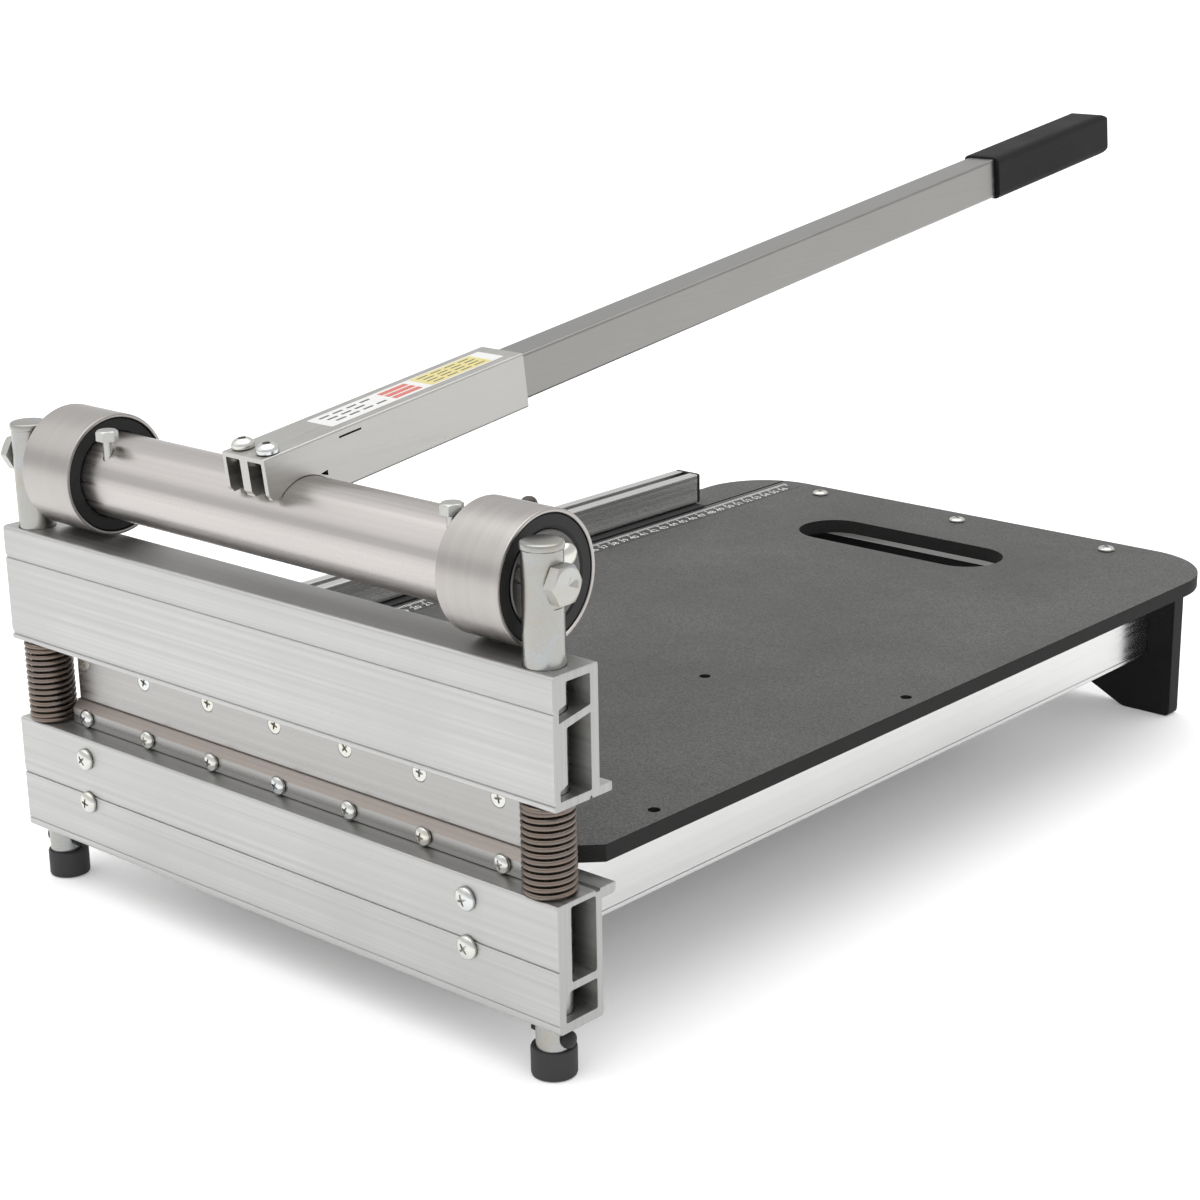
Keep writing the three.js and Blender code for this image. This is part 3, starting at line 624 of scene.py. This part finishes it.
PIVOT = centre("right_pivot_bolt")
for side, sign in SIGN.items():
    low, high = box(f"{side}_post")
    axis = post_at[side]
    cap = 10.1
    shaft = lathe([
        [0, low.z], [7.5, low.z], [8.4, low.z + 1], [8.4, 27], [9.6, 28.5], [9.6, high.z - 3.9],
        [cap - 0.2, high.z - 3.6],
        [cap, high.z - 3.3], [cap, high.z - 1.6], [cap - 0.35, high.z - 0.7], [cap - 1.2, high.z - 0.15],
        [cap - 2.6, high.z], [0, high.z],
    ], 72)
    flat = prism([rectangle(8.9, 227.2, 19, 253.2, 0.6)], -15, 15, "y")
    waist = prism([arc(-99.3, 232.5, 91, -20, 20, 40) + [Vector((-99.3, 232.5))]], -15, 15, "y")
    cutters = [flat, waist]
    if sign < 0:
        cutters = [moved(tool, Matrix.Rotation(math.pi, 4, "Z")) for tool in cutters]
    shaped = boolean(shaft, "DIFFERENCE", *cutters)
    post = moved(shaped, at(axis.x, axis.y, 0))
    piece(f"{side}_post", post, POST, "base", [f"{side}_post"], crease=30)

    spring_low, spring_high = box(f"{side}_spring")
    wire, turns, per_turn, around = 1.35, 14.0, 28, 12
    coil_r = (spring_high.x - spring_low.x) / 2 - wire
    verts, faces = [], []
    steps = int(turns * per_turn)
    for i in range(steps + 1):
        u = i / steps
        seat = 0.75 / turns
        travel = min(1, max(0, (u - seat) / (1 - 2 * seat)))
        height = spring_low.z + wire + (spring_high.z - spring_low.z - 2 * wire) * travel
        angle = 2 * math.pi * turns * u + (0.4 if sign > 0 else 2.1)
        for k in range(around):
            t = 2 * math.pi * k / around
            reach = coil_r + wire * math.cos(t)
            verts.append((axis.x + reach * math.cos(angle), axis.y + reach * math.sin(angle),
                          height + wire * math.sin(t)))
    for i in range(steps):
        for k in range(around):
            a, b = i * around + k, i * around + (k + 1) % around
            faces.append((a, a + around, b + around, b))
    faces.append(tuple(range(around)))
    faces.append(tuple(reversed(range(steps * around, steps * around + around))))
    coil = bpy.data.meshes.new("coil")
    coil.from_pydata(verts, [], faces)
    weld(coil)
    spring = piece(f"{side}_spring", coil, SPRING, None, [f"{side}_spring"], crease=50)
    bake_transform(spring)

    foot_low, foot_high = box(f"{side}_foot")
    foot_r, foot_h = (foot_high.x - foot_low.x) / 2, foot_high.z
    foot = lathe([
        [0, 0], [foot_r - 1.2, 0], [foot_r - 0.3, 0.4], [foot_r, 1.3], [foot_r, foot_h - 1.2],
        [foot_r - 0.4, foot_h - 0.3], [foot_r - 1.2, foot_h], [0, foot_h],
    ], 64)
    bore = moved(lathe([[0, 2.7], [8.7, 2.7], [8.7, 40], [0, 40]], 48), at(axis.x, axis.y, 0))
    cap_at = (foot_low + foot_high) / 2
    foot = boolean(moved(foot, at(cap_at.x, cap_at.y, 0)), "DIFFERENCE", bore)
    piece(f"{side}_foot", foot, FOOT, "base", [f"{side}_foot"], bevel=0.3)

    pin_low, pin_high = box(f"{side}_foot_pin")
    pin_z = (pin_low.z + pin_high.z) / 2
    pin_outer = pin_high.x if sign > 0 else pin_low.x
    pin = lathe([[0, -25], [1.9, -25], [1.9, -3.6], [4.2, -3.6], [4.35, -3.3], [4.2, -2.0], [3.6, -1.0],
                 [2.4, -0.3], [0, 0]], 40)
    pin = moved(pin, TOWARDS["+x" if sign > 0 else "-x"], at(pin_outer, axis.y, pin_z))
    piece(f"{side}_foot_pin", pin, TRIM, "base", [f"{side}_foot_pin"])

# ------------------------------------------------------------------ table, rails, leg

board_low, board_high = box("table_board")
CHAMFER, CORNER = 21, 50
board_loop = [
    Vector((board_low.x, board_low.y + CHAMFER)), Vector((board_low.x + CHAMFER, board_low.y)),
    Vector((board_high.x - CHAMFER, board_low.y)), Vector((board_high.x, board_low.y + CHAMFER)),
]
board_loop += arc(board_high.x - CORNER, board_high.y - CORNER, CORNER, 0, 90, 24)
board_loop += arc(board_low.x + CORNER, board_high.y - CORNER, CORNER, 90, 180, 24)
slot_y, slot_x, slot_r = FRONT + 545, 75, 24
slot_loop = arc(slot_x - slot_r, slot_y, slot_r, -90, 90, 24)
slot_loop += arc(slot_r - slot_x, slot_y, slot_r, 90, 270, 24)
holes = [arc(x, FRONT + y, 3, 0, 345, 23) for x, y in ((72.6, 258.4), (178.5, 91.6), (178.1, 299.2))]
board_mesh = prism([board_loop, slot_loop, *holes], board_low.z, board_high.z, "z", 0.5)
GROOVE_X = -157
groove = prism([rectangle(GROOVE_X - 0.8, FRONT + 26, GROOVE_X + 0.8, FRONT + 626, 0.7)],
               board_high.z - 0.6, board_high.z + 1, "z")
board_mesh = boolean(board_mesh, "DIFFERENCE", groove)
board_looks = [BOARD, BOARD_EDGE, BOARD_LINE]
board = piece("table_board", board_mesh, board_looks, "base", ["table_board"], crease=30)
for polygon in board.data.polygons:
    if polygon.normal.z < -0.9 or (polygon.normal.z > 0.9 and polygon.center.z > board_high.z * 0.001 - 3e-4):
        polygon.material_index = 0
    elif abs(polygon.normal.z) > 0.15 or polygon.center.z > board_high.z * 0.001 - 7e-4:
        polygon.material_index = 2
    else:
        polygon.material_index = 1

for side, sign in SIGN.items():
    rail_low, rail_high = box(f"{side}_rail")
    outer = rail_high.x if sign > 0 else -rail_low.x
    inner, bottom, top, wall = outer - 18, rail_low.z, rail_high.z, 3
    loop = rounded([
        [inner, bottom, 0.4], [outer, bottom, 0.7], [outer, bottom + 2.4, 0.3],
        [outer - 0.6, bottom + 3, 0.3],
        [outer - 0.6, top, 0.5], [inner, top, 0.4], [inner, top - wall, 0.4], [outer - wall, top - wall, 1],
        [outer - wall, bottom + wall, 1], [inner, bottom + wall, 0.4],
    ])
    if sign < 0:
        loop = [Vector((-p.x, p.y)) for p in reversed(loop)]
    mesh = prism([loop], rail_low.y, rail_high.y, "y", 0.2)
    notch = prism([rectangle(rail_low.y - 5, 86, LIP + 0.3, 130)], -200, 200, "x")
    mesh = boolean(mesh, "DIFFERENCE", notch)
    piece(f"{side}_rail", mesh, RAIL, "base", [f"{side}_rail"], crease=28)

leg_low, leg_high = box("rear_leg")
half, top = leg_high.x, leg_high.z
leg_loop = rounded([
    [-half, 0, 4], [-126, 0, 3], [-102, 12, 16], [-50, 36, 30], [50, 36, 30], [102, 12, 16], [126, 0, 3],
    [half, 0, 4], [half, top, 0.5], [-half, top, 0.5],
], 10)
leg_mesh = prism([leg_loop], leg_low.y, leg_high.y, "y", 0.6)
leg = piece("rear_leg", leg_mesh, [LEG, LEG_EDGE], "base", ["rear_leg"], crease=30)
for polygon in leg.data.polygons:
    polygon.material_index = 0 if abs(polygon.normal.y) > 0.3 else 1

bar_low, bar_high = box("rear_crossbar")
bar_loop = rectangle(bar_low.y, bar_low.z, bar_high.y, bar_high.z, 1)
bar_mesh = prism([bar_loop], bar_low.x, bar_high.x, "x", 0.3)
piece("rear_crossbar", bar_mesh, CROSSBAR, "base", ["rear_crossbar"])

# ------------------------------------------------------------------ fence and ruler

fence_low, fence_high = box("fence_bar")
mid = (fence_low.x + fence_high.x) / 2
fence_loop = rounded([
    [fence_low.x, fence_low.z, 0.8], [fence_high.x, fence_low.z, 0.8], [fence_high.x, fence_high.z, 0.8],
    [mid + 3, fence_high.z, 0.4], [mid + 3, fence_low.z + 15, 0.4], [mid - 3, fence_low.z + 15, 0.4],
    [mid - 3, fence_high.z, 0.4], [fence_low.x, fence_high.z, 0.8],
])
fence_mesh = prism([fence_loop], fence_low.y, fence_high.y, "y", 0.25)
piece("fence_bar", fence_mesh, FENCE, "base", ["fence_bar"], crease=28)

cap_low, cap_high = box("fence_end_cap")
cap_loop = rectangle(cap_low.x, cap_low.z, cap_high.x, cap_high.z, 1.6)
piece("fence_end_cap", prism([cap_loop], cap_low.y, cap_high.y, "y", 0.5), TRIM, "base", ["fence_end_cap"])

strip_low, strip_high = box("fence_base_strip")
strip_loop = rectangle(strip_low.x, strip_low.z, strip_high.x, strip_high.z, 0.35)
piece("fence_base_strip", prism([strip_loop], strip_low.y, strip_high.y, "y", 0.2), TRIM, "base",
      ["fence_base_strip"])

knob_low, knob_high = box("fence_knob")
knob_c = (knob_low + knob_high) / 2
KNOB_HEIGHT, FLUTED_FROM, FLUTE_DEPTH = 15.4, 5.85, 0.05
knob_seat = knob_high.z - KNOB_HEIGHT
knob = lathe([
    [0, knob_low.z], [2.4, knob_low.z], [2.4, knob_seat], [5.2, knob_seat], [5.6, knob_seat + 0.4],
    [6.2, knob_seat + 1.8], [6.2, knob_seat + 9], [5.9, knob_seat + 10.8], [5.2, knob_seat + 12.6],
    [4.2, knob_seat + 14], [3, knob_seat + 14.8], [1.6, knob_seat + 15.25], [0, knob_high.z],
], 96)
for vertex in knob.vertices:
    reach = math.hypot(vertex.co.x, vertex.co.y)
    if reach > FLUTED_FROM:
        flute = 1 - FLUTE_DEPTH * (0.5 + 0.5 * math.cos(16 * math.atan2(vertex.co.y, vertex.co.x)))
        vertex.co.x *= flute
        vertex.co.y *= flute
knob = moved(knob, at(knob_c.x, knob_c.y, 0))
piece("fence_knob", knob, KNOB, "fence_knob", ["fence_knob"], crease=40)

# printed scale between the fence and the middle of the table; the figures are tens of millimetres
RULER_X0, RULER_X1 = -152.5, -138.5
ruler_top = board_high.z + 0.12
ruler_y0, ruler_y1 = FRONT + 44, FRONT + 622
film = prism([rectangle(RULER_X0, ruler_y0, RULER_X1, ruler_y1, 1)], board_high.z - 0.1, ruler_top, "z")
piece("ruler_film", film, RULER, "base")
ticks = bmesh.new()
for k in range(int((ruler_y1 - ruler_y0 - 6) // 2) + 1):
    y = ruler_y0 + 3 + 2 * k
    length = 5.5 if k % 5 == 0 else 3
    corners = [(RULER_X0 + 0.5, y - 0.42), (RULER_X0 + 0.5 + length, y - 0.42),
               (RULER_X0 + 0.5 + length, y + 0.42), (RULER_X0 + 0.5, y + 0.42)]
    ring = [ticks.verts.new((a, b, ruler_top + 0.03)) for a, b in corners]
    ticks.faces.new(ring)
tick_mesh = bpy.data.meshes.new("ticks")
ticks.to_mesh(tick_mesh)
ticks.free()
piece("ruler_ticks", tick_mesh, RULER_WHITE, "base")


def figures(text, height):
    """Plain figures as a flat mesh lying in the XY plane, centred on the origin."""
    curve = bpy.data.curves.new("figures", "FONT")
    curve.body = text
    curve.size = height
    curve.align_x = "CENTER"
    curve.align_y = "CENTER"
    curve.resolution_u = 2
    holder = bpy.data.objects.new("figures", curve)
    mesh = bpy.data.meshes.new_from_object(holder)
    bpy.data.objects.remove(holder)
    return mesh


marks = []
for k in range(1, int((ruler_y1 - ruler_y0 - 10) // 10) + 1):
    y = ruler_y0 + 3 + 10 * k
    marks.append(moved(figures(str(k), 7.4), Matrix.Rotation(math.pi / 2, 4, "Z"),
                       at(RULER_X1 - 4.2, y, ruler_top + 0.03)))
piece("ruler_figures", joined(*marks), RULER_WHITE, "base")

# ------------------------------------------------------------------ eccentric tube and rollers


def on_tube(mesh, direction="+x"):
    return moved(mesh, TOWARDS[direction], Matrix.Translation(TUBE))


tube_low, tube_high = box("cross_tube")
tube_r = (tube_high.z - tube_low.z) / 2
tube_end = tube_high.x
tube_mesh = lathe([
    [tube_r, -tube_end + 0.3], [tube_r, tube_end - 0.3], [tube_r - 0.3, tube_end],
    [tube_r - 2.7, tube_end], [tube_r - 3, tube_end - 0.3], [tube_r - 3, -tube_end + 0.3],
    [tube_r - 2.7, -tube_end], [tube_r - 0.3, -tube_end],
], 96, closed=True)
SET_SHANK, SET_HEAD, PIVOT_HEAD = 2.6, 5.4, 5.8
set_drill = lathe([[0, 0], [SET_SHANK + 0.3, 0], [SET_SHANK + 0.3, 40], [0, 40]], 32)
drills = []
for side in SIGN:
    spot = centre(f"{side}_set_bolt")
    drills.append(moved(set_drill, at(spot.x, spot.y, TUBE.z)))
tube_mesh = boolean(on_tube(tube_mesh), "DIFFERENCE", *drills)
piece("cross_tube", tube_mesh, TUBE_STEEL, "lever", ["cross_tube"], crease=30)

for side, sign in SIGN.items():
    outward = "+x" if sign > 0 else "-x"
    roller_low, roller_high = box(f"{side}_roller")
    ring_r = (roller_high.z - roller_low.z) / 2
    ends = sorted((abs(roller_low.x), abs(roller_high.x)))
    near, far = ends
    ring = lathe([
        [ring_r, near + 0.8], [ring_r, far - 0.8], [ring_r - 0.25, far - 0.25], [ring_r - 0.9, far],
        [ring_r - 1.7, far - 0.05], [ring_r - 2, far - 0.4], [ring_r - 2, near + 0.4],
        [ring_r - 1.7, near + 0.05],
        [ring_r - 0.9, near], [ring_r - 0.25, near + 0.25],
    ], 120, closed=True)
    piece(f"{side}_roller", on_tube(ring, outward), ROLLER, f"{side}_roller", [f"{side}_roller"],
          crease=40)
    bush_r = ring_r - 2.3
    b0, b1 = near + 0.6, far - 0.6
    bush = lathe([
        [bush_r, b0 + 0.6], [bush_r, b1 - 0.6], [bush_r - 0.5, b1], [tube_r + 1.6, b1],
        [tube_r + 1.2, b1 - 0.4], [tube_r + 0.3, b1 - 0.8], [tube_r + 0.3, b0 + 0.6],
        [tube_r + 0.9, b0], [bush_r - 0.6, b0],
    ], 96, closed=True)
    piece(f"{side}_bush", on_tube(bush, outward), BUSH, "lever", [f"{side}_bush"], crease=30)

    plug_low, plug_high = box(f"{side}_end_plug")
    face_x = far - 0.4
    spigot = tube_r - 3.3
    plug_start = 160
    disc = lathe([
        [0, plug_start - 9], [spigot, plug_start - 9], [spigot, plug_start], [tube_r, plug_start],
        [tube_r, face_x - 0.6], [tube_r - 0.6, face_x], [0, face_x],
    ], 96)
    bolt_hole = moved(lathe([[0, 100], [4.3, 100], [4.3, 200], [0, 200]], 32), TOWARDS[outward],
                      at(0, PIVOT.y, PIVOT.z))
    disc = boolean(on_tube(disc, outward), "DIFFERENCE", bolt_hole)
    dome_h = max(abs(plug_low.x), abs(plug_high.x)) - face_x
    dome = lathe([[0, -0.4], [6, -0.4], [6, 1.2], [5.75, 2.4], [5.1, 3.7], [4, dome_h - 0.9],
                  [2.4, dome_h - 0.25], [0, dome_h]], 48)
    dome = moved(dome, TOWARDS[outward], at(sign * face_x, FRONT + 39.3, 241.9))
    # the end disc is darkened by painted shade
    piece(f"{side}_end_plug", disc, PLUG_PAINTED_SHADE, "lever", [f"{side}_end_plug"], crease=35)
    piece(f"{side}_plug_bolt", dome, SCREW, "lever", crease=35)

    bolt_low, bolt_high = box(f"{side}_pivot_bolt")
    outer_x = max(abs(bolt_low.x), abs(bolt_high.x))
    pivot = moved(hex_head(17, PIVOT_HEAD, 4, 30), Matrix.Rotation(math.pi / 6, 4, "Z"), TOWARDS[outward],
                  at(sign * (outer_x - PIVOT_HEAD), PIVOT.y, PIVOT.z))
    piece(f"{side}_pivot_bolt", pivot, BOLT, "base", [f"{side}_pivot_bolt"], crease=12)

    bolt_low, bolt_high = box(f"{side}_set_bolt")
    spot = (bolt_low + bolt_high) / 2
    set_bolt = moved(hex_head(10, SET_HEAD, SET_SHANK, 12), at(spot.x, spot.y, bolt_high.z - SET_HEAD))
    piece(f"{side}_set_bolt", set_bolt, BOLT, "lever", [f"{side}_set_bolt"], crease=12)

# ------------------------------------------------------------------ handle

SOCKET_HALF, SOCKET_START, SOCKET_END, SOCKET_LOW, SOCKET_HIGH = 15.3, -21.7, 158.2, 8.85, 38.4
cell = rounded([[2.8, 11.3, 0.8], [12.8, 11.3, 0.8], [12.8, 35.9, 0.8], [2.8, 35.9, 0.8]])
mirror_cell = [Vector((-p.x, p.y)) for p in reversed(cell)]
socket_mesh = prism([rectangle(-SOCKET_HALF, SOCKET_LOW, SOCKET_HALF, SOCKET_HIGH, 1.4)],
                    SOCKET_START, SOCKET_END, "y", 0.25)
slit = prism([rectangle(26.3, 33.9, 41.3, 34.9, 0.5)], -20, 20, "x")
nick = prism([rounded([[11.5, 20.4], [16.3, 21.2, 0.5], [16.3, 18.2, 0.5]])], -20, 20, "x")
socket_mesh = boolean(
    socket_mesh, "DIFFERENCE",
    prism([rectangle(-10.3, 10.7, 10.3, 35.9, 0.4)], 38, SOCKET_END + 5, "y"),
    prism([cell], SOCKET_START - 5, 39, "y"),
    prism([mirror_cell], SOCKET_START - 5, 39, "y"),
    moved(lathe([[0, -20], [tube_r + 0.3, -20], [tube_r + 0.3, 20], [0, 20]], 96), TOWARDS["+x"]),
    prism([rounded([[-30, -10], [-14, -10], [-14, 17.5], [-19.2, 17.5, 2.2], [-30, 17.5]])], -20, 20, "x"),
    prism([rounded([[-24, 14], [-20.2, 14], [-20.2, 18.2], [-21.75, 20.4], [-24, 20.4]])], -20, 20, "x"),
    slit, nick,
)
piece("handle_socket", moved(socket_mesh, ON_HANDLE), SOCKET, "lever", ["handle_socket"], crease=28)

hex_socket = moved(hexagon(4, 6), at(0, 0, 2.4))
dome_bolt = boolean(pan_head(5.7, 4.9, 2.1, 8, recess=False), "DIFFERENCE", hex_socket)
for number in (1, 2):
    middle = ON_HANDLE.inverted() @ centre(f"socket_bolt_{number}")
    bolt = moved(dome_bolt, at(middle.x, middle.y, SOCKET_HIGH + 0.3), ON_HANDLE)
    piece(f"socket_bolt_{number}", bolt, SCREW, "lever", [f"socket_bolt_{number}"], crease=32)

tube_loop = rectangle(-10, 11, 10, 35.6, 1.8)
tube_hole = rectangle(-8.5, 12.5, 8.5, 34.1, 0.9)
piece("handle_tube", moved(prism([tube_loop, tube_hole], 40, 695, "y", 0.2), ON_HANDLE), BAR, "lever",
      ["handle_tube"], crease=28)

GRIP_START, GRIP_END, GRIP_HALF, GRIP_LOW, GRIP_HIGH = 608.8, 745.2, 13.2, 9.6, 37.1
grip_loop = rectangle(-GRIP_HALF, GRIP_LOW, GRIP_HALF, GRIP_HIGH, 5.2, 8)
grip_side = prism([rounded([
    [GRIP_START, GRIP_LOW, 1.6], [GRIP_END, GRIP_LOW, 13.5],
    [GRIP_END, GRIP_HIGH, 13.5], [GRIP_START, GRIP_HIGH, 1.6],
], 12)], -20, 20, "x")
grip_plan = prism([rounded([
    [-GRIP_HALF, GRIP_START, 1.2], [GRIP_HALF, GRIP_START, 1.2],
    [GRIP_HALF, GRIP_END, 5], [-GRIP_HALF, GRIP_END, 5],
], 12)], 0, 60, "z")
grip_mesh = prism([grip_loop], GRIP_START - 1, GRIP_END + 1, "y")
grip_mesh = boolean(grip_mesh, "INTERSECT", grip_side)
grip_mesh = boolean(grip_mesh, "INTERSECT", grip_plan)
bore = prism([rectangle(-10.3, 10.7, 10.3, 35.9, 1.6)], GRIP_START - 5, 695.4, "y")
grip_mesh = boolean(grip_mesh, "DIFFERENCE", bore)
grip_mesh = moved(grip_mesh, ON_HANDLE)
piece("handle_grip", grip_mesh, GRIP, "lever", ["handle_grip"], bevel=0.5, crease=24, segments=3)

# plain label on the socket: blank bands and bars, no wording
LABEL_S0, LABEL_S1, LABEL_HALF = 28, 150, 9.5


def decal(name, x0, s0, x1, s1, height, material, radius=0.5):
    plate = prism([rectangle(x0, s0, x1, s1, radius)], SOCKET_HIGH, SOCKET_HIGH + height, "z")
    return piece(name, moved(plate, ON_HANDLE), material, "lever")


decal("label_base", -LABEL_HALF, LABEL_S0, LABEL_HALF, LABEL_S1, 0.10, LABEL_WHITE, 1.0)
for number, x in enumerate((-5.2, 0, 5.2)):
    decal(f"label_red_bar_{number}", x - 1.9, 74, x + 1.9, 93, 0.14, LABEL_RED)
decal("label_yellow_band", -LABEL_HALF + 1, 98, LABEL_HALF - 1, 142, 0.14, LABEL_YELLOW)
for row, x in enumerate((-5.4, -0.6, 4.2)):
    for k in range(4 - row % 2):
        start = 33 + 9.2 * k + 1.3 * row
        decal(f"label_bar_{row}_{k}", x - 0.8, start, x + 0.8, start + 6.6, 0.14, LABEL_DARK, 0.3)
for row, x in enumerate((-5.6, -1.9, 1.9, 5.6)):
    for k in range(4):
        start = 101 + 10 * k + 1.1 * (row % 2)
        decal(f"label_line_{row}_{k}", x - 0.5, start, x + 0.5, start + 7.4, 0.18, LABEL_DARK, 0.2)

# ------------------------------------------------------------------ floor, light and camera

SPAN = 40  # half the floor's width, in metres
PAPER_GLOW = 0.17  # lifts the shadow under the object
floor_mesh = bpy.data.meshes.new("floor")
floor_corners = [(-SPAN, -SPAN, 0), (SPAN, -SPAN, 0), (SPAN, SPAN, 0), (-SPAN, SPAN, 0)]
floor_mesh.from_pydata(floor_corners, [], [(0, 1, 2, 3)])
floor = bpy.data.objects.new("floor", floor_mesh)
floor.location.z = -0.0001
bpy.context.scene.collection.objects.link(floor)
paper = Look("floor_paper", (0.93, 0.93, 0.93), 0.75)
paper_cloud = paper.noise((0.8, 0.8, 0.8), 2.0)
paper_tone = paper.stretch(paper_cloud, 0.3, 0.7, 0, 1)
paper.paint(paper.mix(paper_tone, (0.925, 0.925, 0.925), (0.935, 0.935, 0.935)))
floor_mesh.materials.append(paper.material)
paper.set(paper.shader, "Emission Color", (1, 1, 1, 1))
paper.set(paper.shader, "Emission Strength", PAPER_GLOW)

world = bpy.data.worlds.new("studio")
bpy.context.scene.world = world
world.use_nodes = True
sky = world.node_tree.nodes["Background"]
sky.inputs["Color"].default_value = (1, 1, 1, 1)
sky.inputs["Strength"].default_value = 0.8


def area_light(name, place, target, size, power):
    lamp = bpy.data.lights.new(name, "AREA")
    lamp.shape = "RECTANGLE"
    lamp.size, lamp.size_y = size
    lamp.energy = power
    thing = bpy.data.objects.new(name, lamp)
    thing.location = place
    aim = Vector(target) - Vector(place)
    thing.rotation_euler = aim.to_track_quat("-Z", "Y").to_euler()
    bpy.context.scene.collection.objects.link(thing)


area_light("key", (-1.6, -1.6, 2.6), (0, 0, 0.1), (3.6, 3.6), 20)
area_light("top", (0.3, 0.4, 3.0), (0, 0.1, 0.1), (2.4, 2.4), 10)

sun_data = bpy.data.lights.new("overhead", "SUN")
sun_data.energy = 1.35
sun_data.angle = math.radians(80)
sun = bpy.data.objects.new("overhead", sun_data)
bpy.context.scene.collection.objects.link(sun)

camera_data = bpy.data.cameras.new("camera")
camera = bpy.data.objects.new("camera", camera_data)
bpy.context.scene.collection.objects.link(camera)
bpy.context.scene.camera = camera
camera_data.sensor_fit = "HORIZONTAL"
camera_data.sensor_width = 36
camera_data.lens = 74.33
camera_data.shift_x = -0.0013
camera_data.shift_y = 0.0318
camera_data.clip_end = 100
AZIMUTH, ELEVATION, ROLL = math.radians(42.0), math.radians(17.97), math.radians(-0.96)
look_dir = Vector((-math.sin(AZIMUTH) * math.cos(ELEVATION), math.cos(AZIMUTH) * math.cos(ELEVATION),
                   -math.sin(ELEVATION)))
level = Vector((math.cos(AZIMUTH), math.sin(AZIMUTH), 0))
upright = level.cross(look_dir)
right = level * math.cos(ROLL) + upright * math.sin(ROLL)
up = upright * math.cos(ROLL) - level * math.sin(ROLL)
turn = Matrix((right, up, -look_dir)).transposed().to_4x4()
camera_place = Vector((893.3, FRONT - 737.5, 546.0)) / 1000
camera.matrix_world = Matrix.Translation(camera_place) @ turn

bpy.context.scene.view_settings.view_transform = "Standard"
